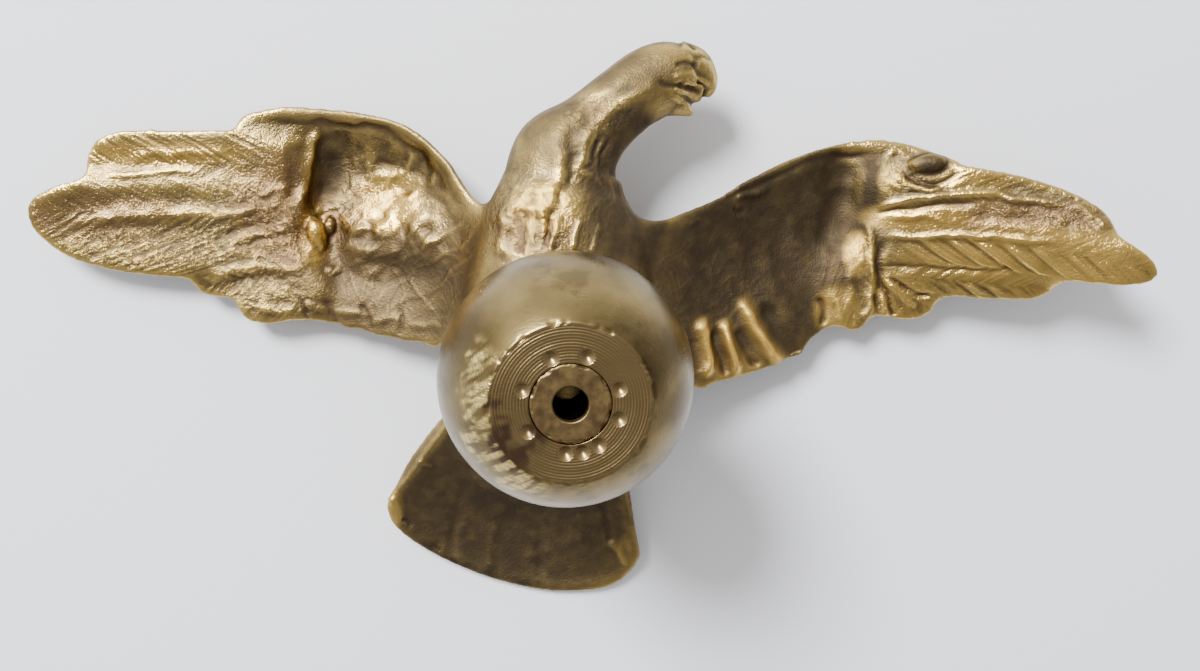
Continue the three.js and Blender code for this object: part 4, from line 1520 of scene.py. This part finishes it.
    def _parts(self, skin: Skin, layers: dict[str, np.ndarray], normals: np.ndarray) -> list[bpy.types.Object]:
        """Cuts the skin by place, so that no part is too heavy; shared edges keep the skin's shading.

        Args:
            skin: The carved skin.
            layers: What to store on the parts, by name.
            normals: The skin's directions.

        Returns:
            The parts.
        """
        centres = skin.points[skin.quads].mean(axis=1)
        wing_right, wing_left = centres[:, 0] < -32, centres[:, 0] > 34
        tail, neck = centres[:, 1] < -45, centres[:, 1] > 22
        regions = {
            "eagle_right_wing": wing_right & ~tail,
            "eagle_left_wing": wing_left & ~tail,
            "eagle_tail": tail,
            "eagle_neck": ~(wing_right | wing_left) & neck,
            "eagle_trunk": ~(wing_right | wing_left | tail | neck),
        }
        parts = []
        for name, faces in regions.items():
            used, quads = np.unique(skin.quads[faces], return_inverse=True)
            mesh = bpy.data.meshes.new(name)
            mesh.from_pydata((skin.points[used] * MM + self.origin).tolist(), [], quads.reshape(-1, 4).tolist())
            shade_smooth(mesh)
            for layer, values in layers.items():
                store(mesh, layer, values[used])
            mesh.normals_split_custom_set_from_vertices(normals[used].tolist())
            part = bpy.data.objects.new(name, mesh)
            bpy.context.scene.collection.objects.link(part)
            parts.append(part)
        return parts


# Ball and bushing


@dataclass(frozen=True)
class Seat:
    """The seat turned on the ball and the bushing in its middle, in millimetres."""

    radius: float = 19.7
    bushing: float = 9.9
    gap: float = 0.12  # narrow, as the punch marks drive the ball's brass against the bushing
    length: float = 22.0
    socket: float = 4.2
    chamfer: float = 0.4
    punch_circle: float = 12.1
    punch_radius: float = 2.0
    punch_depth: float = 1.2
    punches: Sequence[float] = (17, 71, 112, 162, 212, 264, 283, 303, 342)
    pitch: float = 1.5
    thread: float = 0.42  # height of the thread
    groove_pitch: float = 0.74  # between the tool's rings, coarser than real so that they show
    groove: float = 0.05  # their depth

    @property
    def height(self) -> float:
        """The seat's height over the ball's centre."""
        return math.sqrt(CAST.ball_radius**2 - self.radius**2)


Shape = Callable[[np.ndarray, np.ndarray], np.ndarray]


def revolve(profile: np.ndarray, segments: int, shape: Shape) -> Form:
    """Turns a profile about the upright axis and fills its ends.

    Args:
        profile: Rows of radius and height.
        segments: How many steps round.
        shape: Moves the turned points, given them and their angles, such as for grooves or dents.

    Returns:
        The turned form.
    """
    angle = np.linspace(0, 2 * np.pi, segments, endpoint=False)
    radius, height = profile[:, 0:1], profile[:, 1:2]
    level = np.broadcast_to(height, (len(profile), segments))
    rings = np.stack([radius * np.cos(angle), radius * np.sin(angle), level], -1)
    rings = shape(rings, np.broadcast_to(angle, rings.shape[:2]))
    return loft(rings)


class Ball:
    """The turned ball: tool marks and punch marks on its seat, and filed patches beside it."""

    # Painted dark reflections of the room on the polish: direction from the ball's centre, reach in radii, and
    # how strong
    PAINTED_ROOM_REFLECTIONS = (
        ((-0.76, 0.41, 0.5), 0.46, 0.95),
        ((-0.9, 0.19, 0.4), 0.34, 0.8),
        ((-0.8, -0.25, 0.5), 0.35, 0.5),
        ((0.66, 0.31, 0.68), 0.42, 0.95),
        ((0.84, -0.06, 0.54), 0.36, 0.8),
    )
    FILED = (140, 155, 240, 262)  # degrees round the seat: where filing starts, is full, fades and ends
    FILED_REACH = (24.5, 27)  # radius at which it fades and ends
    STAINED = (160, 180, 225, 250)

    def __init__(self, seat: Seat) -> None:
        """Keeps the seat's sizes."""
        self.seat = seat
        self.noise = Noise(21)

    def build(self, origin: np.ndarray) -> bpy.types.Object:
        """Builds the ball.

        Args:
            origin: Where the figure's frame has its origin, in metres.

        Returns:
            The ball.
        """
        seat = self.seat
        rim = math.asin(seat.radius / CAST.ball_radius)
        angles = np.linspace(math.pi - 0.004, rim, 150)
        sphere = np.stack([CAST.ball_radius * np.sin(angles), CAST.ball_radius * np.cos(angles)], 1)
        hole, bottom = seat.bushing + seat.gap, seat.height - seat.length
        flat_r = np.linspace(seat.radius - 0.15, hole, 110)
        flat = np.stack([flat_r, np.full_like(flat_r, seat.height)], 1)
        bore = np.array([[hole, seat.height - 0.4], [hole, bottom]])
        floor = np.array([[0.02, bottom]])
        form = revolve(np.vstack([sphere, flat, bore, floor]), 320, self._shape)
        form.points[:, 2] += CAST.ball_height
        ball = new_object("ball_turned", form, origin)
        shade_smooth(ball.data)
        self._layers(ball.data, form.points - [0, 0, CAST.ball_height])
        return ball

    def _shape(self, rings: np.ndarray, angle: np.ndarray) -> np.ndarray:
        """Cuts grooves and punch marks into the seat and chips its edge.

        Args:
            rings: Points as rings, round the ball's centre.
            angle: The points' angles; not used here.

        Returns:
            The moved points.
        """
        seat = self.seat
        radius = np.hypot(rings[..., 0], rings[..., 1])
        on_seat = (np.abs(rings[..., 2] - seat.height) < 0.01) & (radius > seat.bushing + seat.gap + 0.05)
        uneven = 0.75 + 0.25 * np.cos(radius * 2.1)
        dip = seat.groove * uneven * np.cos(2 * np.pi * radius / seat.groove_pitch)
        dip = dip * smoothstep(seat.radius, seat.radius - 1, radius)
        for turn in seat.punches:
            x, y = (seat.punch_circle * way(math.radians(turn)) for way in (math.cos, math.sin))
            away = np.hypot(rings[..., 0] - x, rings[..., 1] - y) / seat.punch_radius
            dip = np.where(away < 1, 0, dip) - seat.punch_depth * np.clip(1 - away**1.5, 0, 1)
        rings = rings.copy()
        rings[..., 2] += np.where(on_seat, dip, 0)
        chipped = smoothstep(0.05, 0.6, self.noise.octaves(rings.reshape(-1, 3), 2.6)).reshape(radius.shape)
        chipped = chipped * np.exp(-(((radius - seat.radius) / 0.55) ** 2)) * (rings[..., 2] > 0)
        rings[..., 2] -= 0.3 * chipped
        rings[..., :2] *= (1 - 0.35 * chipped / np.maximum(radius, 1))[..., None]
        return rings

    def _layers(self, mesh: bpy.types.Mesh, points: np.ndarray) -> None:
        """Stores where the ball is filed, stained, painted with dark reflections of the room and turned flat.

        Args:
            mesh: The ball's mesh.
            points: Its points, from the ball's centre.
        """
        radius = np.hypot(points[:, 0], points[:, 1])
        turn = np.degrees(np.arctan2(points[:, 1], points[:, 0])) % 360
        beside = smoothstep(self.seat.radius - 0.3, self.seat.radius + 0.2, radius) * (points[:, 2] > 0)
        ragged = self.noise.octaves(points, 5) * 3
        near, far = self.FILED_REACH
        reach = smoothstep(far, near, radius + ragged)
        start, full, fade, end = self.FILED
        filed = beside * reach * smoothstep(start, full, turn) * smoothstep(end, fade, turn)
        along, across = points @ np.array([0.8, 0.6, 0]), points @ np.array([-0.6, 0.8, 0])
        strokes = self.noise.octaves(np.stack([along / 7, across / 1.1, points[:, 2] / 7], axis=1), 1.0)
        store(mesh, "filed", filed * smoothstep(-0.35, 0.25, strokes))
        way = unit(points)
        # Painted dark reflections of the room, fixed on the ball
        painted_room_reflection = []
        for towards, spread, share in self.PAINTED_ROOM_REFLECTIONS:
            painted_room_reflection.append(share * smoothstep(spread, 0.3 * spread, np.linalg.norm(way - towards, axis=1)))
        store(mesh, "painted_room_reflection", np.max(painted_room_reflection, axis=0) * (points[:, 2] < self.seat.height - 0.1))
        stain = 0.8 * smoothstep(-0.3, 0.4, self.noise.octaves(points + 5, 5))
        stain = stain * (points[:, 2] > self.seat.height - 2)
        start, full, fade, end = self.STAINED
        store(mesh, "stain", stain * smoothstep(start, full, turn) * smoothstep(end, fade, turn))
        seat = (np.abs(points[:, 2] - self.seat.height) < 2) & (radius < self.seat.radius + 0.1)
        store(mesh, "seat", seat.astype(float))


class Bushing:
    """The threaded bushing."""

    def __init__(self, seat: Seat) -> None:
        """Keeps the seat's sizes."""
        self.seat = seat
        self.noise = Noise(33)

    def build(self, origin: np.ndarray) -> bpy.types.Object:
        """Builds the bushing.

        Args:
            origin: Where the figure's frame has its origin, in metres.

        Returns:
            The bushing.
        """
        seat = self.seat
        top, foot = seat.height, seat.height - seat.length
        mouth = seat.socket + seat.chamfer
        outside = np.array([
            [seat.socket, foot],
            [seat.bushing, foot],
            [seat.bushing, top - 0.35],
            [seat.bushing - 0.3, top - 0.05],
        ])
        face_r = np.linspace(seat.bushing - 0.6, mouth + 0.05, 40)
        face = np.stack([face_r, np.full_like(face_r, top)], 1)
        bore_z = np.linspace(top - seat.chamfer, foot + 0.05, 150)
        bore = np.stack([np.full_like(bore_z, seat.socket), bore_z], 1)
        form = revolve(np.vstack([outside, face, bore]), 160, self._shape)
        hubs = len(form.points) - 2  # the fillings of both ends, which would close the bore
        form = Form(form.points[:hubs], [face for face in form.faces if max(face) < hubs])
        form.points[:, 2] += CAST.ball_height
        bushing = new_object("bushing_threaded", form, origin)
        shade_smooth(bushing.data)
        depth = seat.height + CAST.ball_height - form.points[:, 2]
        inside = np.hypot(form.points[:, 0], form.points[:, 1]) < seat.socket + 0.5
        # Painted shade: the bore goes dark from about a millimetre below its mouth
        store(bushing.data, "bore", inside * smoothstep(0.9, 2.0, depth))
        return bushing

    def _shape(self, rings: np.ndarray, angle: np.ndarray) -> np.ndarray:
        """Cuts the thread and chips the outer edge.

        Args:
            rings: Points as rings, round the ball's centre.
            angle: The points' angles.

        Returns:
            The moved points.
        """
        seat = self.seat
        radius = np.hypot(rings[..., 0], rings[..., 1])
        inside = radius < seat.socket + 0.01
        turn = (rings[..., 2] / seat.pitch - angle / (2 * np.pi)) % 1.0
        thread = seat.thread * (1 - np.abs(2 * turn - 1))
        thread = thread * smoothstep(seat.height, seat.height - 1.0, rings[..., 2])
        grow = np.where(inside, 1 + (thread - 0.05) / radius, 1.0)
        rings = rings.copy()
        rings[..., :2] *= grow[..., None]
        chipped = smoothstep(0.0, 0.5, self.noise.octaves(rings.reshape(-1, 3), 1.6)).reshape(radius.shape)
        edge = smoothstep(seat.bushing - 1.1, seat.bushing - 0.3, radius) * (rings[..., 2] > seat.height - 0.5)
        rings[..., 2] -= 0.5 * chipped * edge
        return rings


# Finishes


def srgb(code: str) -> tuple[float, float, float, float]:
    """Returns a hex colour as the linear values that shaders take."""
    channels = [int(code[i:i + 2], 16) / 255 for i in (0, 2, 4)]
    return (*(c / 12.92 if c <= 0.04045 else ((c + 0.055) / 1.055) ** 2.4 for c in channels), 1.0)


class Graph:
    """The nodes of a material or a world, added one at a time with their settings and links."""

    def __init__(self, owner: bpy.types.Material | bpy.types.World) -> None:
        """Clears a tree of nodes and keeps it.

        Args:
            owner: What the nodes belong to.
        """
        owner.use_nodes = True
        self.tree = owner.node_tree
        self.tree.nodes.clear()

    def add(self, kind: str, inputs: dict | None = None, **settings: str | bool) -> bpy.types.Node:
        """Adds a node.

        Args:
            kind: The node's class without its ShaderNode prefix.
            inputs: Socket names or numbers, each with a value or the output it is fed by.
            settings: The node's own properties.

        Returns:
            The node.
        """
        node = self.tree.nodes.new("ShaderNode" + kind)
        for key, value in settings.items():
            setattr(node, key, value)
        for key, value in (inputs or {}).items():
            if isinstance(value, Socket):
                self.tree.links.new(value, node.inputs[key])
            else:
                node.inputs[key].default_value = value
        return node

    def layer(self, name: str) -> Socket:
        """Returns one of the mesh's stored layers."""
        return self.add("Attribute", attribute_name=name).outputs["Fac"]

    def ramp(self, value: Socket, *stops: tuple[float, str | float]) -> Socket:
        """Turns a value into tones.

        Args:
            value: What is read.
            stops: Places from 0 to 1, each with a hex colour or a grey.

        Returns:
            The tone.
        """
        node = self.add("ValToRGB", {"Fac": value})
        elements = node.color_ramp.elements
        while len(elements) < len(stops):
            elements.new(0.5)
        for element, (place, tone) in zip(elements, stops):
            element.position = place
            element.color = srgb(tone) if isinstance(tone, str) else (tone, tone, tone, 1.0)
        return node.outputs["Color"]

    def noise(
        self, size_mm: float, detail: float = 3.0, stretch: Row = (1, 1, 1), rough: float = 0.5
    ) -> Socket:
        """Adds noise with lumps of a real size.

        Args:
            size_mm: Width of its lumps.
            detail: How many finer layers it has.
            stretch: How much longer the lumps are along each axis.
            rough: How strong the finer layers are.

        Returns:
            Its value, about 0.3 to 0.7.
        """
        place = self.add("TexCoord").outputs["Object"]
        scale = tuple(1 / (size_mm * MM * s) for s in stretch)
        mapped = self.add("Mapping", {"Vector": place, "Scale": scale}).outputs["Vector"]
        inputs = {"Vector": mapped, "Scale": 1.0, "Detail": detail, "Roughness": rough}
        return self.add("TexNoise", inputs).outputs["Fac"]

    def maths(self, operation: str, a: Socket | float, b: Socket | float, clamp: bool = False) -> Socket:
        """Returns a sum, product or other operation on two values."""
        return self.add("Math", {0: a, 1: b}, operation=operation, use_clamp=clamp).outputs[0]

    def mix(self, share: Socket, first: Socket | str, second: Socket | str) -> Socket:
        """Blends one colour into another.

        Args:
            share: How much of the second shows.
            first: A hex colour or an output.
            second: The same.

        Returns:
            The blended colour.
        """
        first, second = (srgb(tone) if isinstance(tone, str) else tone for tone in (first, second))
        return self.add("Mix", {0: share, 6: first, 7: second}, data_type="RGBA").outputs[2]

    def bump(
        self, height: Socket, depth_mm: float, strength: Socket | float = 1.0, onto: Socket | None = None
    ) -> Socket:
        """Bends the surface's direction by a height of real depth.

        Args:
            height: What is read as height.
            depth_mm: The depth of its full range.
            strength: How much of it shows.
            onto: A bent direction to start from, or nothing.

        Returns:
            The bent direction.
        """
        inputs = {"Height": height, "Distance": depth_mm * MM, "Strength": strength}
        if onto is not None:
            inputs["Normal"] = onto
        return self.add("Bump", inputs).outputs["Normal"]

    def finish(self, **inputs: Socket | float | Row) -> None:
        """Ends the graph in a principled shader with these inputs."""
        shader = self.add("BsdfPrincipled", {key.replace("_", " "): value for key, value in inputs.items()})
        self.add("OutputMaterial", {"Surface": shader.outputs[0]})


@dataclass(frozen=True)
class CastBrass:
    """Sand-cast brass, wire-brushed and rubbed for years: bright on high places, browned in the hollows, with
    painted shade and painted highlight laid into its colour.
    """

    # The sand's print and the brush break up each reflection: it glints in specks and shows no image
    bright: str = "CAAD66"
    body: str = "7F6D4A"
    brown: str = "524333"
    pink: str = "806749"
    # browned patina, also the painted shade
    browned_and_shaded: str = "4C4132"
    # rubbed bright brass, also the painted highlight
    rubbed_and_highlit: str = "EBC368"
    tint: str = "DCDCE0"  # brass reflects a little cooler at a glancing angle
    grain_mm: float = 0.6  # sand of 0.2 to 0.3 mm, drawn twice as coarse so that it shows
    grain_depth_mm: float = 0.16
    specks_mm: float = 1.3  # small facets that the brush and the hammer leave
    specks_depth_mm: float = 0.6
    scratch_mm: float = 0.5  # a wire of 0.1 mm leaves finer ones, which would not show
    scratch_depth_mm: float = 0.04

    def build(self) -> bpy.types.Material:
        """Builds the material.

        Returns:
            The material.
        """
        material = bpy.data.materials.new("brass_sand_cast_rubbed")
        g = Graph(material)
        patch, grain = g.noise(9, 4), g.noise(self.grain_mm, 3)
        hollow = g.maths("ADD", g.maths("MULTIPLY", g.layer("cavity"), 0.8), 0.42)
        tone = g.maths("ADD", hollow, g.maths("MULTIPLY", g.maths("SUBTRACT", patch, 0.5), 0.4), clamp=True)
        colour = g.ramp(tone, (0.15, self.bright), (0.5, self.body), (0.9, self.brown))
        uneven = g.ramp(g.noise(5, 4), (0.3, 0.82), (0.6, 1.0))
        colour = g.mix(g.maths("MULTIPLY", g.layer("pink"), uneven), colour, self.pink)
        # Browned patina and painted shade
        colour = g.mix(g.maths("MULTIPLY", g.layer("browned_and_shaded"), uneven), colour, self.browned_and_shaded)
        # Rubbed brass and painted highlight
        worn_and_highlit = g.maths("MULTIPLY", g.layer("rubbed_and_highlit"), g.maths("SUBTRACT", 1.1, tone), clamp=True)
        colour = g.mix(worn_and_highlit, colour, self.rubbed_and_highlit)
        dull = g.maths("ADD", tone, g.maths("MULTIPLY", g.maths("SUBTRACT", grain, 0.5), 0.5))
        dull = g.maths("SUBTRACT", dull, g.maths("MULTIPLY", g.layer("rubbed_and_highlit"), 0.4), clamp=True)
        rough = g.ramp(dull, (0.1, 0.14), (0.9, 0.4))
        rough = g.maths("ADD", rough, g.maths("MULTIPLY", g.layer("browned_and_shaded"), 0.38))
        smooth = g.maths("MULTIPLY", g.layer("rubbed_and_highlit"), 0.5)
        sparkle = g.maths("SUBTRACT", g.maths("ADD", 0.25, g.layer("hammered")), smooth, clamp=True)
        normal = g.bump(g.noise(self.specks_mm, 4, rough=0.65), self.specks_depth_mm, strength=sparkle)
        normal = g.bump(grain, self.grain_depth_mm, onto=normal)
        for size, stretch in ((0.9 * self.scratch_mm, (5, 1, 2)), (self.scratch_mm, (1, 4, 2))):
            normal = g.bump(g.noise(size, 2, stretch=stretch), self.scratch_depth_mm, onto=normal)
        g.finish(Base_Color=colour, Metallic=1.0, Roughness=rough, Normal=normal, Specular_Tint=srgb(self.tint))
        return material


@dataclass(frozen=True)
class TurnedBrass:
    """Brass turned on a lathe and polished, with coarse file marks beside the seat."""

    # The polish shows soft images of the room, clouded by thin brown patches of handling; dark reflections of
    # the room are also painted on
    metal: str = "827048"
    clouded: str = "6A5B39"
    seat: str = "8A7651"
    stain: str = "4A3430"
    # brown of handling, also the painted dark reflection of the room
    handling_and_reflection_brown: str = "4A3D24"
    filed: str = "CFB872"
    turning_mm: float = 0.5  # rings of the tool, about 0.1 mm apart in the real one and too fine to show
    turning_depth_mm: float = 0.05
    file_mm: float = 1.3  # a coarse file's teeth, drawn about as wide as real
    file_depth_mm: float = 0.8

    def build(self) -> bpy.types.Material:
        """Builds the material.

        Returns:
            The material.
        """
        material = bpy.data.materials.new("brass_turned_polished")
        g = Graph(material)
        cloud = g.noise(9, 4)
        colour = g.mix(g.ramp(cloud, (0.3, 0.0), (0.7, 1.0)), self.metal, self.clouded)
        colour = g.mix(g.ramp(g.noise(16, 5, rough=0.6), (0.52, 0.0), (0.6, 0.55)), colour, self.handling_and_reflection_brown)
        # Painted dark reflections of the room
        painted_room_reflection = g.maths("MULTIPLY", g.layer("painted_room_reflection"), g.ramp(cloud, (0.3, 0.7), (0.6, 1.0)))
        colour = g.mix(painted_room_reflection, colour, self.handling_and_reflection_brown)
        colour = g.mix(g.layer("seat"), colour, self.seat)
        colour = g.mix(g.layer("stain"), colour, self.stain)
        marks = g.noise(self.file_mm, 3, stretch=(3, 1, 1), rough=0.6)
        fresh = g.maths("MULTIPLY", g.layer("filed"), g.ramp(marks, (0.35, 0.45), (0.55, 1.0)))
        colour = g.mix(fresh, colour, self.filed)
        rough = g.maths("ADD", 0.2, g.maths("MULTIPLY", cloud, 0.2))
        turned = g.bump(g.noise(self.turning_mm, 3, stretch=(5, 1.5, 1)), self.turning_depth_mm)
        normal = g.bump(marks, self.file_depth_mm, strength=g.layer("filed"), onto=turned)
        g.finish(Base_Color=colour, Metallic=1.0, Roughness=rough, Normal=normal)
        return material


@dataclass(frozen=True)
class BushingBrass:
    """Machined brass, long in the air and browned."""

    # The brown film dulls the tool's shine to a satin, and painted shade blackens the bore deeper in
    metal: str = "84704A"
    brown: str = "6E5A40"
    # painted shade in the bore
    painted_bore_shade: str = "16130F"
    grain_mm: float = 0.4  # the tool's feed, drawn coarser than its 0.1 mm so that it shows
    grain_depth_mm: float = 0.03

    def build(self) -> bpy.types.Material:
        """Builds the material.

        Returns:
            The material.
        """
        material = bpy.data.materials.new("brass_machined_browned")
        g = Graph(material)
        cloud = g.noise(3, 4)
        # Painted shade darkens the bore
        colour = g.mix(g.layer("bore"), g.ramp(cloud, (0.35, self.brown), (0.65, self.metal)), self.painted_bore_shade)
        normal = g.bump(g.noise(self.grain_mm, 3), self.grain_depth_mm)
        rough = g.ramp(cloud, (0.3, 0.36), (0.7, 0.5))
        g.finish(Base_Color=colour, Metallic=1.0, Roughness=rough, Normal=normal)
        return material


# Studio


@dataclass(frozen=True)
class Studio:
    """Plain pale floor, a soft window light from the head's side, and the photograph's camera."""

    lens_mm: float = 36.0
    sensor_mm: float = 36.0
    camera: Row = (-13.0, 72.46, 300.82)  # from the ball's centre, in millimetres
    right: Row = (0.9974, 0.0, 0.0726)
    up: Row = (0.0145, 0.98, -0.1987)
    back: Row = (-0.0711, 0.1992, 0.9774)
    window: Row = (-0.75, 1.06, 1.3)  # from the origin, in metres
    window_size: float = 0.6
    window_watts: float = 72.0
    room_strength: float = 7.5
    floor: str = "F5F8FF"
    by_height: Sequence[tuple[float, str]] = ((0.0, "BCBEC4"), (0.5, "8A8884"), (0.95, "6C6A67"))
    by_window: Sequence[tuple[float, str]] = ((0.0, "88888C"), (0.6, "B0B0B0"), (0.95, "F0F0F0"))

    def build(self, centre: Vector) -> None:
        """Makes floor, world, window and camera.

        Args:
            centre: The ball's centre in metres.
        """
        self._floor()
        self._world()
        self._window()
        self._camera(centre)

    def _floor(self) -> None:
        """Lays a plain matt floor under the statue."""
        mesh = bpy.data.meshes.new("floor")
        mesh.from_pydata([(-3, -3, 0), (3, -3, 0), (3, 3, 0), (-3, 3, 0)], [], [(0, 1, 2, 3)])
        floor = bpy.data.objects.new("floor", mesh)
        bpy.context.scene.collection.objects.link(floor)
        material = bpy.data.materials.new("floor_matt_white")
        Graph(material).finish(Base_Color=srgb(self.floor), Roughness=0.95)
        mesh.materials.append(material)

    def _world(self) -> None:
        """Surrounds the statue with a plain room, brighter at the window and darker overhead."""
        world = bpy.data.worlds.new("room_with_a_window")
        g = Graph(world)
        way = g.add("TexCoord").outputs["Generated"]
        height = g.add("SeparateXYZ", {0: way}).outputs["Z"]
        towards = g.add("VectorMath", {0: way, 1: Vector(self.window).normalized()}, operation="DOT_PRODUCT")
        tones = {0: g.ramp(height, *self.by_height), 1: g.ramp(towards.outputs["Value"], *self.by_window)}
        colour = g.add("VectorMath", tones, operation="MULTIPLY").outputs["Vector"]
        room = g.add("Background", {"Color": colour, "Strength": self.room_strength})
        g.add("OutputWorld", {"Surface": room.outputs[0]})
        bpy.context.scene.world = world

    def _window(self) -> None:
        """Hangs a round soft light at the window's place, turned to the statue."""
        data = bpy.data.lights.new("window", "AREA")
        data.shape = "DISK"
        data.size = self.window_size
        data.energy = self.window_watts
        light = bpy.data.objects.new("window", data)
        light.location = self.window
        light.rotation_euler = (-Vector(self.window)).to_track_quat("-Z", "Y").to_euler()
        bpy.context.scene.collection.objects.link(light)

    def _camera(self, centre: Vector) -> None:
        """Sets the camera as the photograph was taken.

        Args:
            centre: The ball's centre in metres.
        """
        data = bpy.data.cameras.new("camera")
        data.lens = self.lens_mm
        data.sensor_width = self.sensor_mm
        data.sensor_fit = "HORIZONTAL"
        data.clip_start = 0.01
        data.clip_end = 20.0
        camera = bpy.data.objects.new("camera", data)
        turn = Matrix((self.right, self.up, self.back)).transposed().to_4x4()
        camera.matrix_world = Matrix.Translation(centre + Vector(self.camera) * MM) @ turn
        bpy.context.scene.collection.objects.link(camera)
        bpy.context.scene.camera = camera


# The object


def claim(piece: bpy.types.Object, node: str, material: bpy.types.Material) -> None:
    """Dresses a piece and lets it stand for a solid of the frame.

    Args:
        piece: The piece.
        node: The solid's name.
        material: Its finish.
    """
    piece.data.materials.append(material)
    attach(piece, "root")
    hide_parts(node)
    LOG.info("%s: %d faces in %s, for %s", piece.name, len(piece.data.polygons), material.name, node)


def main() -> None:
    """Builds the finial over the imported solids."""
    logging.basicConfig(level=logging.INFO, format="%(name)s: %(message)s")
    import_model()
    low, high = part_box("ball")
    centre = Vector(((low.x + high.x) / 2, (low.y + high.y) / 2, low.z + CAST.ball_radius * MM))
    origin = np.array(centre) - [0, 0, CAST.ball_height * MM]

    cast_brass = CastBrass().build()
    for part in EagleCasting(origin, *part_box("eagle")).build():
        claim(part, "eagle", cast_brass)
    seat = Seat()
    claim(Ball(seat).build(origin), "ball", TurnedBrass().build())
    claim(Bushing(seat).build(origin), "threaded_bushing", BushingBrass().build())
    Studio().build(centre)


if __name__ == "__main__":
    main()
